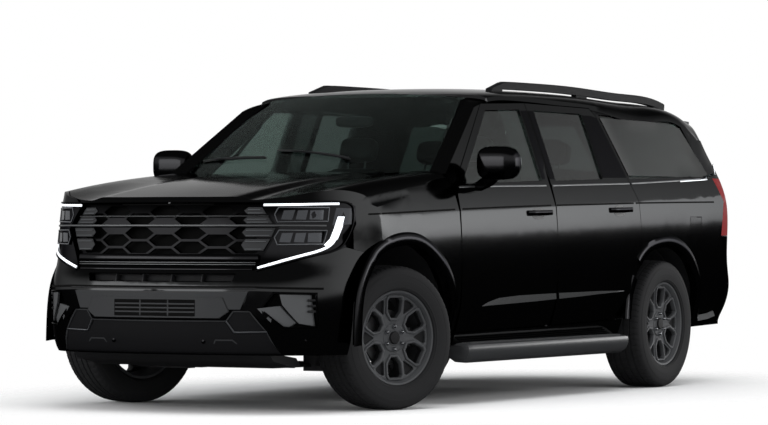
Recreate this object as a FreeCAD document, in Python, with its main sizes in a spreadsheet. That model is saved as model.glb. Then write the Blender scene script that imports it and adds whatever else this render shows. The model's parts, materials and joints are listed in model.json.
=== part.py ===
"""Full-size three-row suv, built as separate panels, frame, running gear and cabin.

Millimetres, +X forward, +Y to the vehicle's left, +Z up, ground at z = 0.
Every piece is drawn from the front axle and its Placement moves it to the
middle of the vehicle. The outer panels are cut from shared body surfaces, so
neighbours always follow one another.
"""
import FreeCAD
import Part
import Sketcher
import math
import os

SIZES = {
    "wheelbase": (3343, "front axle to rear axle"),
    "front_overhang": (1039, "front axle to the foremost point of the bumper"),
    "rear_overhang": (1258, "rear axle to the rearmost point of the bumper"),
    "half_width": (1015, "centre plane to the widest point of the doors"),
    "roof_height": (1862, "ground to the crown of the roof"),
    "half_track": (856, "centre plane to the middle of a tyre"),
    "tyre_radius": (401, "outer radius of a tyre"),
    "tyre_width": (276, "width over the sidewalls"),
    "rim_radius": (262, "outer radius of the rim's lip"),
    "rim_wall": (14, "thickness of the rim's barrel"),
    "rim_width": (236, "width over the rim's lips"),
    "kingpin_inset": (40, "steering axis inboard of the tyre's middle"),
    "hub_radius": (62, "radius of the wheel's hub"),
    "spindle_radius": (30, "radius of the stub that the wheel turns on"),
    "spindle_play": (0.3, "radial clearance of a wheel on its stub"),
    "disc_radius": (156, "radius of a brake disc"),
    "disc_thick": (28, "thickness of a brake disc"),
    "skin": (36, "thickness of a door skin or window frame"),
    "panel": (30, "thickness of hood, fender and roof"),
    "roof_wall": (18, "thickness of the roof panel"),
    "seal_gap": (15, "door skin to the pillar behind it"),
    "hinge_leaf": (12, "thickness of a hinge leaf"),
    "bumper_wall": (40, "thickness of a bumper"),
    "gate_wall": (46, "thickness of the liftgate and tailgate"),
    "door_core": (130, "depth from the door's outer face to its inner face"),
    "core_start": (15, "depth at which the door's inner box starts"),
    "core_inset": (46, "door's inner box, inward from the skin's edge"),
    "frame_depth": (172, "depth from the outer face to the inside of the pillars"),
    "frame_overlap": (32, "pillar and sill hidden behind the door's edge"),
    "pillar_depth": (112, "width of the windscreen pillar across the car"),
    "shut_gap": (5.5, "gap round every panel that opens"),
    "fit_gap": (0.8, "gap between fixed panels"),
    "seat_gap": (0.3, "clearance where one piece rests on another"),
    "glass_thick": (5, "thickness of a side window"),
    "glass_set": (10, "side glass inward from the frame's face"),
    "hinge_depth": (46, "door hinge axis inward from the widest point"),
    "hinge_set": (30, "door hinge axis behind the door's front edge"),
    "hinge_pin": (6, "radius of a hinge pin"),
    "hinge_barrel": (34, "side of a hinge barrel"),
    "hinge_length": (70, "length of a hinge barrel"),
    "swing_play": (5.5, "clearance round what swings past a panel's edge"),
    "rail_width": (80, "width of a frame rail"),
    "rail_half": (380, "centre plane to the inner face of a frame rail"),
    "cross_length": (70, "length of a cross member along the car"),
    "cross_height": (84, "height of a cross member"),
    "floor_height": (520, "ground to the underside of the front floor"),
    "rear_floor": (690, "ground to the underside of the rear floor"),
    "sheet": (12, "thickness of floor and bulkhead"),
    "bulkhead": (600, "front axle back to the face of the bulkhead"),
    "apron_half": (496, "centre plane to the inner face of the inner wing"),
    "tub_radius": (478, "inner radius of the rear wheel housing"),
    "tub_half": (640, "centre plane to the wheel housing's inner wall"),
    "board_length": (2310, "length of a running board"),
    "board_start": (622, "front axle back to the running board's front end"),
    "board_half": (1036, "centre plane to the board's outer edge"),
    "board_width": (150, "width of a running board"),
    "board_thick": (44, "height of the board's outer edge"),
    "board_height": (272, "ground to the underside of the board"),
    "roof_rail_half": (619, "centre plane to the middle of a roof rail"),
    "roof_rail_width": (34, "width of a roof rail"),
    "roof_rail_thick": (22, "height of a roof rail's bar"),
    "roof_rail_lift": (34, "roof to the middle of the rail's bar"),
    "engine_length": (700, "length of the engine"),
    "engine_width": (600, "width of the engine"),
    "engine_height": (560, "height of the engine"),
    "engine_base": (440, "ground to the underside of the engine"),
    "tank_length": (1050, "length of the fuel tank"),
    "tank_width": (300, "width of the fuel tank"),
    "tank_height": (180, "height of the fuel tank"),
    "shaft_radius": (42, "radius of the propeller shaft"),
    "half_shaft": (18, "radius of a rear drive shaft"),
    "pipe_radius": (32, "radius of the exhaust pipe"),
    "silencer_radius": (70, "radius of the silencer"),
    "receiver_bore": (51, "side of the hitch receiver's square opening"),
    "receiver_wall": (7, "wall of the hitch receiver"),
    "receiver_pin": (8, "radius of the receiver's cross pin hole"),
    "mirror_width": (215, "width of a door mirror"),
    "mirror_height": (190, "height of a door mirror"),
    "mirror_thick": (110, "depth of a door mirror"),
    "mirror_reach": (118, "door's widest point to the mirror's middle"),
    "wheel_dish": (34, "steering wheel: depth of the hub"),
    "wheel_ring": (188, "steering wheel: radius of the rim's centre line"),
    "wheel_grip": (15, "steering wheel: radius of the rim's section"),
    "seat_width": (520, "width of a front seat"),
    "seat_centre": (400, "centre plane to the middle of a front seat"),
    "cushion_thick": (130, "thickness of a seat cushion"),
    "back_thick": (130, "thickness of a seat back"),
    "cell_width": (200, "honeycomb grille: width of an opening"),
    "cell_height": (64, "honeycomb grille: height of an opening"),
    "cell_web": (13, "honeycomb grille: web between openings"),
    "grille_set": (30, "grille inward from the nose"),
    "grille_thick": (22, "thickness of the grille"),
    "overrun": (40, "how far a cutting body passes what it cuts"),
}

doc = FreeCAD.newDocument("suv")
sheet = doc.addObject("Spreadsheet::Sheet", "sizes")
for row, (name, (value, note)) in enumerate(SIZES.items(), start=1):
    sheet.set(f"A{row}", name)
    sheet.set(f"B{row}", str(value))
    sheet.setAlias(f"B{row}", name)
    sheet.set(f"C{row}", note)
doc.recompute()


class Size:
    """The driving dimensions as attributes, read from the sheet."""

    def __getattr__(self, name):
        return float(sheet.get(name))


size = Size()
AXLE_TO_MIDDLE = (size.rear_overhang + size.wheelbase - size.front_overhang) / 2
NODES = {}

# Styling shares: heights are shares of the roof height, widths of the half width,
# lengths of the wheelbase. RISE_SHARE is how much the body lines climb per length.
RISE_SHARE = 0.0215
STEER_SHARE = -19.0 / 360

# Side profile: height and width shares, with creases at the even points
SIDE_PROFILE_SHARES = [
    (0.1531, 0.9143), (0.2256, 0.9586), (0.2943, 0.9911), (0.4458, 1), (0.587, 0.9901),
    (0.623, 0.9744), (0.6606, 0.9537), (0.8056, 0.8571), (1.0204, 0.7054),
]
# Stations along the side: length share from the front axle, width share
SIDE_STATION_SHARES = [
    (0.338, 0.975), (0.1496, 0.998), (-0.0897, 1.0), (-0.4487, 1.0),
    (-0.8077, 1.0), (-1.1068, 0.992), (-1.2713, 0.98), (-1.4239, 0.955),
]
# Nose: height share, setback from the foremost point as a share of the roof height
NOSE_PROFILE_SHARES = [
    (0.1074, 0.0424), (0.1772, 0.029), (0.2148, 0.0091), (0.2739, 0.0), (0.3604, 0.0011),
    (0.4001, 0.0097), (0.4296, 0.022), (0.544, 0.0387), (0.6106, 0.051), (0.666, 0.0666),
    (0.7143, 0.0859),
]
NOSE_BOW_SHARE = 0.2276
NOSE_CORNER_SHARE = 0.4631
# Tail: height share, setback from the rearmost point as a share of the roof height
TAIL_PROFILE_SHARES = [
    (0.1074, 0.0322), (0.2041, 0.0054), (0.2524, 0.0), (0.3437, 0.0), (0.3867, 0.0118),
    (0.4189, 0.0204), (0.5371, 0.0193), (0.6445, 0.0247), (0.7089, 0.0387), (0.8056, 0.0806),
    (0.913, 0.1278), (1.0204, 0.1772),
]
TAIL_BOW_SHARE = 0.069
TAIL_CORNER_SHARE = 0.266
CORNER_POWER = 9
ACROSS_SHARES = [0.0, 0.2, 0.4, 0.55, 0.68, 0.78, 0.86, 0.92, 0.96, 1.0, 1.03]
# Hood: length share and height share along the middle, then width share and drop
HOOD_LENGTH_SHARES = [
    (0.338, 0.6165), (0.2543, 0.6402), (0.1795, 0.6606), (0.0598, 0.6885),
    (-0.0449, 0.7062), (-0.1346, 0.7186), (-0.2273, 0.7304),
]
HOOD_ACROSS_SHARES = [
    (0.0, 0.0), (0.2167, 0.0011), (0.3941, 0.0027), (0.4433, 0.0048), (0.4975, 0.0129), (0.5517, 0.0145),
    (0.6897, 0.0107), (0.8177, 0.0059), (0.8768, 0.0081), (0.9163, 0.0177), (0.9507, 0.0365),
    (1.0246, 0.0967),
]
# Roof: length share, height share along the middle, share of the drop at the sides
ROOF_LENGTH_SHARES = [
    (-0.3231, 0.9517, 0.5), (-0.359, 0.9667, 0.55), (-0.4188, 0.9839, 0.62),
    (-0.4957, 0.9941, 0.75), (-0.6581, 1.0, 0.92), (-0.8376, 0.9979, 1.0),
    (-1.0171, 0.9871, 1.0), (-1.1965, 0.9678, 1.0), (-1.3461, 0.9452, 1.0),
]
ROOF_ACROSS_SHARES = [
    (0.0, 0.0), (0.2956, 0.0027), (0.4926, 0.0086), (0.6108, 0.0156), (0.6897, 0.0242),
    (0.7488, 0.0376), (0.7882, 0.0564), (0.8473, 0.0967),
]

# Outlines seen from the side, as length and height shares
FRONT_DOOR_SHARES = [
    (-0.1813, 0.2229), (-0.1813, 0.6069), (-0.1861, 0.6778), (-0.3697, 0.9334),
    (-0.5354, 0.9431), (-0.5354, 0.6928), (-0.5372, 0.2309),
]
FRONT_WINDOW_SHARES = [
    (-0.2094, 0.6778), (-0.2872, 0.7852), (-0.3793, 0.913), (-0.5085, 0.9216),
    (-0.5049, 0.6928),
]
REAR_DOOR_SHARES = [
    (-0.539, 0.2309), (-0.5372, 0.6928), (-0.5372, 0.9431), (-0.7867, 0.9377),
    (-0.8047, 0.913), (-0.8525, 0.6982), (-0.8741, 0.6337), (-0.8789, 0.5371),
    (-0.8765, 0.4458), (-0.8555, 0.3759), (-0.8346, 0.2417),
]
REAR_WINDOW_SHARES = [
    (-0.5594, 0.6939), (-0.5624, 0.9216), (-0.7478, 0.9184), (-0.7478, 0.7025),
]
QUARTER_WINDOW_SHARES = [
    (-0.8181, 0.9194), (-1.1606, 0.9076), (-1.2085, 0.7223), (-0.863, 0.7046),
]
WINDSCREEN_PILLAR_SHARES = [
    (-0.1675, 0.6778), (-0.1615, 0.7078), (-0.3754, 0.9603), (-0.3978, 0.9667),
    (-0.3978, 0.9388), (-0.3703, 0.9372), (-0.1846, 0.681),
]
FRONT_ARCH_SHARES = [
    (-0.175, 0.1343), (-0.1711, 0.2363), (-0.1406, 0.3652), (-0.0987, 0.4404), (-0.0359, 0.4914),
    (0.0359, 0.4968), (0.0987, 0.4672), (0.1376, 0.4082), (0.16, 0.3222), (0.1675, 0.1343),
]
REAR_ARCH_SHARES = [
    (-0.8301, 0.1343), (-0.8346, 0.2385), (-0.8615, 0.3921), (-0.9004, 0.4565),
    (-0.9572, 0.4807), (-1.023, 0.4807), (-1.0829, 0.4458), (-1.1277, 0.3706),
    (-1.1517, 0.2793), (-1.1547, 0.1343),
]
REAR_BUMPER_SHARES = [
    (-1.1068, 0.1772), (-1.0649, 0.4108), (-1.1768, 0.4253), (-1.2139, 0.4597),
    (-1.2324, 0.5113), (-1.4657, 0.5113), (-1.4657, 0.2041), (-1.2863, 0.1853),
]
FUEL_DOOR_SHARES = [(-1.1008, 0.4968), (-1.1008, 0.5773), (-1.1517, 0.5773), (-1.1517, 0.4968)]
RAIL_SHARES = [
    (0.2602, 0.2148), (0.2602, 0.2846), (0.1256, 0.3008), (-0.1137, 0.3008), (-0.2034, 0.2578),
    (-0.8077, 0.2578), (-0.8824, 0.3491), (-1.1008, 0.3491), (-1.1756, 0.29),
    (-1.3281, 0.29), (-1.3281, 0.2309), (-1.1606, 0.2309), (-1.0888, 0.2927),
    (-0.8974, 0.2927), (-0.8256, 0.188), (-0.2094, 0.188), (-0.1256, 0.2309), (0.1256, 0.2309),
]
CROSS_SHARES = [
    (0.2498, 0.2256), (0.0987, 0.232), (-0.3859, 0.1751), (-0.8047, 0.1515),
    (-1.1068, 0.3008), (-1.3162, 0.2363),
]
DASH_SHARES = [
    (-0.1837, 0.4404), (-0.1837, 0.6633), (-0.2273, 0.6778), (-0.2782, 0.6633),
    (-0.2931, 0.6069), (-0.2692, 0.4619), (-0.2393, 0.4296),
]
CONSOLE_SHARES = [(-0.2692, 0.3008), (-0.2692, 0.4726), (-0.353, 0.4565), (-0.5235, 0.4619),
                  (-0.5325, 0.3008)]
# Outlines seen from the front or rear, as width and height shares
GRILLE_SHARES = [
    (0.5793, 0.6144), (0.6759, 0.5397), (0.5635, 0.42), (-0.5635, 0.42), (-0.6759, 0.5397),
    (-0.5793, 0.6144),
]
LAMP_SHARES = [
    (0.5793, 0.6144), (0.9074, 0.6176), (0.934, 0.6058), (0.9399, 0.5532), (0.9182, 0.486),
    (0.8749, 0.4683), (0.733, 0.4425), (0.5635, 0.42), (0.6759, 0.5397),
]
BUMPER_TOP_SHARES = [
    (0.5635, 0.42), (0.733, 0.4425), (0.8749, 0.4683), (0.9182, 0.486), (0.9606, 0.4726),
    (1.0837, 0.4608),
]
SLOT_SHARES = [(0.4709, 0.4103), (0.4552, 0.3856), (-0.4552, 0.3856), (-0.4709, 0.4103)]
LOWER_GRILLE_SHARES = [(0.2581, 0.3351), (0.2581, 0.2846), (-0.2581, 0.2846), (-0.2581, 0.3351)]
FOG_SHARES = [(0.6798, 0.3588), (0.8552, 0.3555), (0.8591, 0.2524), (0.7241, 0.2503),
              (0.6108, 0.3088)]
SKID_SHARES = [
    (0.5576, 0.304), (0.4591, 0.304), (0.4236, 0.2739), (-0.4236, 0.2739), (-0.4591, 0.304),
    (-0.5576, 0.304), (-0.6443, 0.2427), (-0.6897, 0.1772), (0.6897, 0.1772), (0.6443, 0.2427),
]
GATE_SHARES = [
    (0.7606, 0.4791), (0.7606, 0.6982), (0.6305, 0.9356), (0.6305, 1),
    (-0.6305, 1), (-0.6305, 0.9356), (-0.7606, 0.6982), (-0.7606, 0.4791),
]
GATE_GLASS_SHARES = [
    (0.6897, 0.725), (0.5892, 0.9076), (-0.5892, 0.9076), (-0.6897, 0.725),
]
TAILGATE_SHARES = [(0.7606, 0.3759), (0.7606, 0.4721), (-0.7606, 0.4721), (-0.7606, 0.3759)]
TAIL_LAMP_SHARES = [(0.7704, 0.5145), (0.7704, 0.7143), (1.0837, 0.7143), (1.0837, 0.5145)]
TAIL_LAMP_SIDE_SHARES = [
    (-1.2459, 0.5145), (-1.2638, 0.6337), (-1.2354, 0.7143), (-1.4657, 0.7143),
    (-1.4657, 0.5145),
]
# Outlines seen from above, as length and width shares
HOOD_PLAN_SHARES = [
    (0.359, 0.5793), (0.2596, 0.5793), (0.2285, 0.731), (0.1855, 0.8355), (0.0598, 0.869),
    (-0.1615, 0.869),
]
HOOD_REAR_SHARES = [(-0.1615, 0.869), (-0.1271, 0.4926), (-0.1197, 0.0)]
FENDER_SIDE_SHARES = [
    (-0.1855, 0.1853), (-0.1855, 0.6745), (-0.1639, 0.6778), (-0.1591, 0.71),
    (-0.1591, 0.7519), (0.2573, 0.7519), (0.2573, 0.6149), (0.1526, 0.6149), (0.1526, 0.1853),
]
FENDER_INNER_SHARE = 0.5714
BUMPER_BASE_SHARE = 0.1729
CELL_TIP_SHARE = 0.52
GRILLE_BAR_SHARE = 0.5478
LAMP_DEPTH_SHARE = 0.1478
LAMP_REAR_SHARE = 0.1466
HINGE_HEIGHT_SHARES = [0.3383, 0.5317]
WHEEL_PILLAR_SHARES = [
    (-0.8286, 0.1853), (-0.8292, 0.3222), (-0.8615, 0.4511), (-0.8944, 0.5156),
    (-0.869, 0.5424), (-0.8376, 0.4458), (-0.8077, 0.3222), (-0.8047, 0.1853),
]
FRAME_SHARES = [
    (-0.172, 0.1853), (-0.172, 0.6713), (-0.3664, 0.9302), (-0.3859, 0.9452),
    (-0.3859, 0.9828), (-0.9004, 0.9828),
    (-0.9004, 0.5183), (-0.866, 0.4592), (-0.8292, 0.3222), (-0.8286, 0.1853),
]
SILL_SHARES = [
    (-0.1807, 0.1853), (-0.1807, 0.2197), (-0.5372, 0.2272), (-0.828, 0.2379), (-0.828, 0.1853),
]
FRONT_CORE_SHARES = [
    (-0.1813, 0.2229), (-0.1813, 0.6069), (-0.1831, 0.6686), (-0.5354, 0.6821), (-0.5372, 0.2309),
]
REAR_CORE_SHARES = [
    (-0.539, 0.2309), (-0.5372, 0.6831), (-0.854, 0.6901), (-0.8741, 0.6337),
    (-0.8789, 0.5371), (-0.8765, 0.4458), (-0.8555, 0.3759), (-0.8346, 0.2417),
]
QUARTER_SHARES = [
    (-0.7837, 0.9828), (-1.4657, 0.9828), (-1.4657, 0.3759), (-0.8615, 0.3759),
    (-0.8615, 0.6445),
]
GATE_HOLE_SHARES = [
    (0.7606, 0.3222), (0.7606, 0.6982), (0.6305, 0.9356), (0.6305, 1.0204),
    (-0.6305, 1.0204), (-0.6305, 0.9356), (-0.7606, 0.6982), (-0.7606, 0.3222),
]
ROOF_PLAN_SHARES = [
    (-0.3625, 0.0), (-0.3673, 0.3448), (-0.3844, 0.6404), (-0.3984, 0.7488), (-0.4023, 0.8453),
    (-1.3162, 0.8453), (-1.3162, 0.6404), (-1.2833, 0.6404), (-1.2833, 0.0),
]
ROOF_RAIL_SHARES = [
    (-0.4936, 0.9667), (-0.4936, 1.0204), (-0.5085, 1.0741), (-1.1965, 1.0741),
    (-1.2145, 0.9936), (-1.2145, 0.9452),
]
ROOF_FOOT_SHARES = [-0.5384, -0.8765, -1.2133]
FOOT_SHARE = 0.0449
SCREEN_SHARES = (-0.1352, 0.7121, -0.3605, 0.971, 0.0425, 0.8325, 0.7094, 0.0118)
SCREEN_CROWN_SHARE = 0.0183
KNUCKLE_POST_SHARE = 0.62
ARM_SPREAD_SHARE = 0.0285
FRAME_TOP_SHARE = 0.3008
FRAME_BASE_SHARE = 0.2309
REAR_RAIL_BASE_SHARE = 0.2927
ENGINE_REAR_SHARE = -0.1346
GEARBOX_LEVEL_SHARE = 0.2524
TANK_REAR_SHARE = -0.7957
EXHAUST_HALF_SHARE = 0.2069
EXHAUST_LEVEL_SHARE = 0.239
SILENCER_SHARE = -0.5983
PIPE_END_SHARE = -0.8017
MOUNT_SHARES = [-0.2393, -0.4936, -0.7628]
FRAME_REST_SHARE = 0.2524
RECEIVER_MOUTH_SHARE = -1.3715
FLOOR_SHARES = [(-0.1795, 0.2793), (-0.8017, 0.2793), (-0.8436, 0.3706), (-1.3371, 0.3706)]
COWL_SHARE = 0.6971
COWL_FRONT_SHARE = -0.1406
SUPPORT_SHARE = 0.2393
SUPPORT_BASE_SHARE = 0.2927
APRON_TOP_SHARE = 0.5961
APRON_BASE_SHARE = 0.3255
SHELF_SHARE = 0.6122
SKY_SHARE = 0.7519
SPOILER_SHARES = (-1.3252, -1.2851)
BOARD_ARM_SHARES = (0.188, 0.2041)
RECEIVER_SHARE = 0.1654
REAR_SILL_SHARES = (0.3437, 0.4082)
HANGER_SHARES = [-0.5863, -0.7777]
MIRROR_ARM_SHARES = [(0.9261, 0.6477), (0.9261, 0.6713), (1.0148, 0.6982), (1.0936, 0.6982),
                     (1.0345, 0.6745)]
LINER_BASE_SHARE = 0.2685
BRACKET_SHARES = [0.08, 0.5, 0.92]
FRONT_SEAT_SHARE = -0.353
MIDDLE_SEAT_SHARE = -0.6431
REAR_SEAT_SHARE = -0.9213
SEAT_LEVEL_SHARE = 0.4834
REAR_LEVEL_SHARE = 0.5424
SEAT_TOP_SHARE = 0.7626
CONSOLE_HALF_SHARE = 0.1034
STEERING_SHARES = (-0.338, 0.6015)
COLUMN_TILT_SHARE = 24 / 360
STEERING_RATIO = 16
RING_CORNERS = 24
RING_STEP = 2 * math.pi / RING_CORNERS
SPOKE_SHARES = [0.0, 0.5, 0.75]
MIRROR_SHARES = (-0.2602, 0.7411)


def vec(x, y, z):
    return FreeCAD.Vector(x, y, z)


def side_outline(shares):
    """An outline seen from the side, in millimetres."""
    return [(a * size.wheelbase, b * size.roof_height) for a, b in shares]


def front_outline(shares):
    """An outline seen from the front, in millimetres."""
    return [(a * size.half_width, b * size.roof_height) for a, b in shares]


def plan_outline(shares):
    """An outline seen from above, in millimetres."""
    return [(a * size.wheelbase, b * size.half_width) for a, b in shares]


def inset(points, distance):
    """The polygon with every edge moved inward by the distance."""
    area = sum(p[0] * q[1] - q[0] * p[1] for p, q in zip(points, points[1:] + points[:1]))
    turn = 1 if area > 0 else -1
    moved = []
    count = len(points)
    for i in range(count):
        a, b, c = points[i - 1], points[i], points[(i + 1) % count]
        ab = math.hypot(b[0] - a[0], b[1] - a[1])
        bc = math.hypot(c[0] - b[0], c[1] - b[1])
        n1 = (-(b[1] - a[1]) / ab * turn, (b[0] - a[0]) / ab * turn)
        n2 = (-(c[1] - b[1]) / bc * turn, (c[0] - b[0]) / bc * turn)
        scale = distance / (1 + n1[0] * n2[0] + n1[1] * n2[1])
        moved.append((b[0] + (n1[0] + n2[0]) * scale, b[1] + (n1[1] + n2[1]) * scale))
    return moved


def prism(points, plane, low, high):
    """A polygon drawn in the named plane, extruded from low to high along its normal."""
    place = {
        "XZ": lambda a, b: vec(a, low, b),
        "YZ": lambda a, b: vec(low, a, b),
        "XY": lambda a, b: vec(a, b, low),
    }[plane]
    reach = high - low
    way = {"XZ": vec(0, reach, 0), "YZ": vec(reach, 0, 0), "XY": vec(0, 0, reach)}[plane]
    corners = [place(a, b) for a, b in points]
    return Part.Face(Part.makePolygon(corners + corners[:1])).extrude(way)


def block(x0, x1, y0, y1, z0, z1):
    """A box between two corners."""
    return Part.makeBox(x1 - x0, y1 - y0, z1 - z0, vec(x0, y0, z0))


def rod(start, end, radius):
    """A round bar from start to end."""
    return Part.makeCylinder(radius, (end - start).Length, start, end - start)


def mirrored(shape):
    """The same shape on the other side of the vehicle."""
    return shape.mirror(vec(0, 0, 0), vec(0, 1, 0))


def both_sides(shape):
    """The shape and its mirror image, as separate solids."""
    return Part.makeCompound(shape.Solids + mirrored(shape).Solids)


def across_body(points, plane, half):
    """A prism that runs from one side of the vehicle to the other."""
    return prism(points, plane, -half, half)


def interpolate(table, position, column=1):
    """Value of a table of shares at a position, straight between its rows."""
    rows = sorted(table)
    if position <= rows[0][0]:
        return rows[0][column]
    for low, high in zip(rows, rows[1:]):
        if position <= high[0]:
            part = (position - low[0]) / (high[0] - low[0])
            return low[column] + (high[column] - low[column]) * part
    return rows[-1][column]


def field_solid(rows, reach):
    """A solid behind the smooth surface through a grid of points."""
    surface = Part.BSplineSurface()
    surface.interpolate(rows)
    return surface.toShape().extrude(reach)


def mirrored_shares(shares):
    """Shares from the right side to the left side."""
    return [-share for share in reversed(shares)] + shares[1:]


made = {}


def kept(key, make):
    """A helper solid, made once."""
    if key not in made:
        made[key] = make()
    return made[key]


def side_section(length_share, width_share, depth):
    """Closed section of the body at one station, with its sides moved inward by depth."""
    x = length_share * size.wheelbase
    wide = size.half_width * width_share
    points = []
    for height, width in SIDE_PROFILE_SHARES:
        points.append(vec(x, width * wide - depth, height * size.roof_height - RISE_SHARE * x))
    left = [Part.Arc(*points[i:i + 3]).toShape() for i in (0, 2, 4, 6)]
    other = [vec(x, -p.y, p.z) for p in points]
    right = [Part.Arc(other[i], other[i - 1], other[i - 2]).toShape() for i in (8, 6, 4, 2)]
    top = Part.LineSegment(points[-1], other[-1]).toShape()
    bottom = Part.LineSegment(other[0], points[0]).toShape()
    return Part.Wire(left + [top] + right + [bottom])


def sides(depth):
    """Solid between the two body sides, each moved inward by depth."""
    def make():
        sections = [side_section(a, b, depth) for a, b in SIDE_STATION_SHARES]
        return Part.makeLoft(sections, True, False)
    return kept(("sides", depth), make)


def nose(depth):
    """Solid behind the surface of the nose, moved rearward by depth."""
    def make():
        rows = []
        for height, setback in NOSE_PROFILE_SHARES:
            front = size.front_overhang - setback * size.roof_height - depth
            row = []
            for share in mirrored_shares(ACROSS_SHARES):
                drop = NOSE_BOW_SHARE * share ** 2 + NOSE_CORNER_SHARE * abs(share) ** CORNER_POWER
                row.append(vec(front - drop * size.half_width, share * size.half_width,
                               height * size.roof_height))
            rows.append(row)
        return field_solid(rows, vec(-2 * size.front_overhang, 0, 0))
    return kept(("nose", depth), make)


def tail(depth):
    """Solid ahead of the surface of the tail, moved forward by depth."""
    def make():
        rows = []
        end = -(size.wheelbase + size.rear_overhang)
        climb = RISE_SHARE * (size.wheelbase + size.rear_overhang) / size.roof_height
        for height, setback in TAIL_PROFILE_SHARES:
            wide = interpolate(SIDE_PROFILE_SHARES, height - climb) * size.half_width
            row = []
            for share in mirrored_shares(ACROSS_SHARES):
                drop = TAIL_BOW_SHARE * share ** 2 + TAIL_CORNER_SHARE * abs(share) ** CORNER_POWER
                row.append(vec(end + setback * size.roof_height + depth + drop * size.half_width,
                               share * wide, height * size.roof_height))
            rows.append(row)
        return field_solid(rows, vec(size.wheelbase, 0, 0))
    return kept(("tail", depth), make)


def hood_top(depth):
    """Solid under the surface of the hood, lowered by depth."""
    def make():
        rows = []
        across = [share for share, drop in HOOD_ACROSS_SHARES]
        for length, height in HOOD_LENGTH_SHARES:
            row = []
            for share in mirrored_shares(across):
                drop = interpolate(HOOD_ACROSS_SHARES, abs(share))
                row.append(vec(length * size.wheelbase, share * size.half_width,
                               (height - drop) * size.roof_height - depth))
            rows.append(row)
        return field_solid(rows, vec(0, 0, -size.roof_height))
    return kept(("hood", depth), make)


def roof_top(depth):
    """Solid under the surface of the roof, lowered by depth."""
    def make():
        rows = []
        across = [share for share, drop in ROOF_ACROSS_SHARES]
        for length, height, flatness in ROOF_LENGTH_SHARES:
            row = []
            for share in mirrored_shares(across):
                drop = interpolate(ROOF_ACROSS_SHARES, abs(share)) * flatness
                row.append(vec(length * size.wheelbase, share * size.half_width,
                               (height - drop) * size.roof_height - depth))
            rows.append(row)
        return field_solid(rows, vec(0, 0, -size.roof_height))
    return kept(("roof", depth), make)


def sky(depth):
    """The space over the roof, down to the depth under its outer face."""
    def make():
        ahead, behind = ROOF_LENGTH_SHARES[0][0], ROOF_LENGTH_SHARES[-1][0]
        half = ROOF_ACROSS_SHARES[-1][0] * size.half_width - size.fit_gap
        low = SKY_SHARE * size.roof_height
        over = block(behind * size.wheelbase + size.fit_gap, ahead * size.wheelbase - size.fit_gap,
                     -half, half, low, HIGH)
        return over.cut(roof_top(depth))
    return kept(("sky", depth), make)


def front_volume(depth):
    """The front of the body, with every outer face moved inward by depth."""
    return kept(("front", depth), lambda: sides(depth).common(nose(depth)).common(hood_top(depth)))


def rear_volume(depth):
    """The body behind the hood, with sides and tail moved inward by depth."""
    return kept(("rear", depth), lambda: sides(depth).common(tail(depth)))


def side_wall(outer, inner):
    """The body side between two depths."""
    return kept(("wall", outer, inner), lambda: sides(outer).cut(sides(inner)))


def keep_left(shape):
    """The part of a shape on the vehicle's left."""
    far = size.wheelbase + size.rear_overhang + size.front_overhang
    return shape.common(block(-far, far, 0, 2 * size.half_width, 0, 2 * size.roof_height))


def place_node(name, shape, label=None):
    """Enter a finished shape as a feature of the document, moved to the part's frame."""
    feature = doc.addObject("Part::Feature", name)
    feature.Shape = shape
    feature.Label = label or name
    feature.Placement = FreeCAD.Placement(vec(AXLE_TO_MIDDLE, 0, 0), FreeCAD.Rotation())
    NODES[name] = feature
    return feature


FAR = 2 * size.half_width
HIGH = 2 * size.roof_height
LONG = size.wheelbase + size.front_overhang + size.rear_overhang


# Front body panels
hood_plan = plan_outline(HOOD_PLAN_SHARES)
hood_rear = plan_outline(HOOD_REAR_SHARES)
hood_edge = hood_plan + hood_rear[1:]
hood_outline = hood_edge + [(x, -y) for x, y in reversed(hood_edge[:-1])]
front_arch = prism(side_outline(FRONT_ARCH_SHARES), "XZ", -FAR, FAR)
rear_arch = prism(side_outline(REAR_ARCH_SHARES), "XZ", -FAR, FAR)
grille_opening = prism(front_outline(GRILLE_SHARES), "YZ", 0, 2 * size.front_overhang)
lamp_outline = front_outline(LAMP_SHARES)
lamp_prism = prism(lamp_outline, "YZ", 0, 2 * size.front_overhang)
lamp_clear = prism(inset(lamp_outline, -size.fit_gap), "YZ", 0, 2 * size.front_overhang)
lamp_start = LAMP_REAR_SHARE * size.wheelbase - size.fit_gap
lamp_hole = lamp_clear.common(block(lamp_start, LONG, 0, FAR, 0, HIGH))
HOOD_BASE_SHARE = 0.6176
hood_base = HOOD_BASE_SHARE * size.roof_height


def hinge_cylinder(x, radius):
    """What a door's front edge sweeps about its hinge axis."""
    axis_y = size.half_width - size.hinge_depth
    return Part.makeCylinder(radius, size.roof_height, vec(x, axis_y, 0))


front_hinge_x = FRONT_DOOR_SHARES[0][0] * size.wheelbase - size.hinge_set
rear_hinge_x = REAR_DOOR_SHARES[0][0] * size.wheelbase - size.hinge_set
sweep_radius = math.hypot(size.hinge_depth, size.hinge_set) + size.swing_play
front_sweep = hinge_cylinder(front_hinge_x, sweep_radius)
rear_sweep = hinge_cylinder(rear_hinge_x, sweep_radius)

front_shell = front_volume(0).cut(front_volume(size.panel))


def make_hood():
    """Hood with its power dome, one shell with a turned-down front edge."""
    outline = inset(hood_outline, size.shut_gap / 2)
    return front_shell.common(prism(outline, "XY", hood_base, HIGH))


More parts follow.
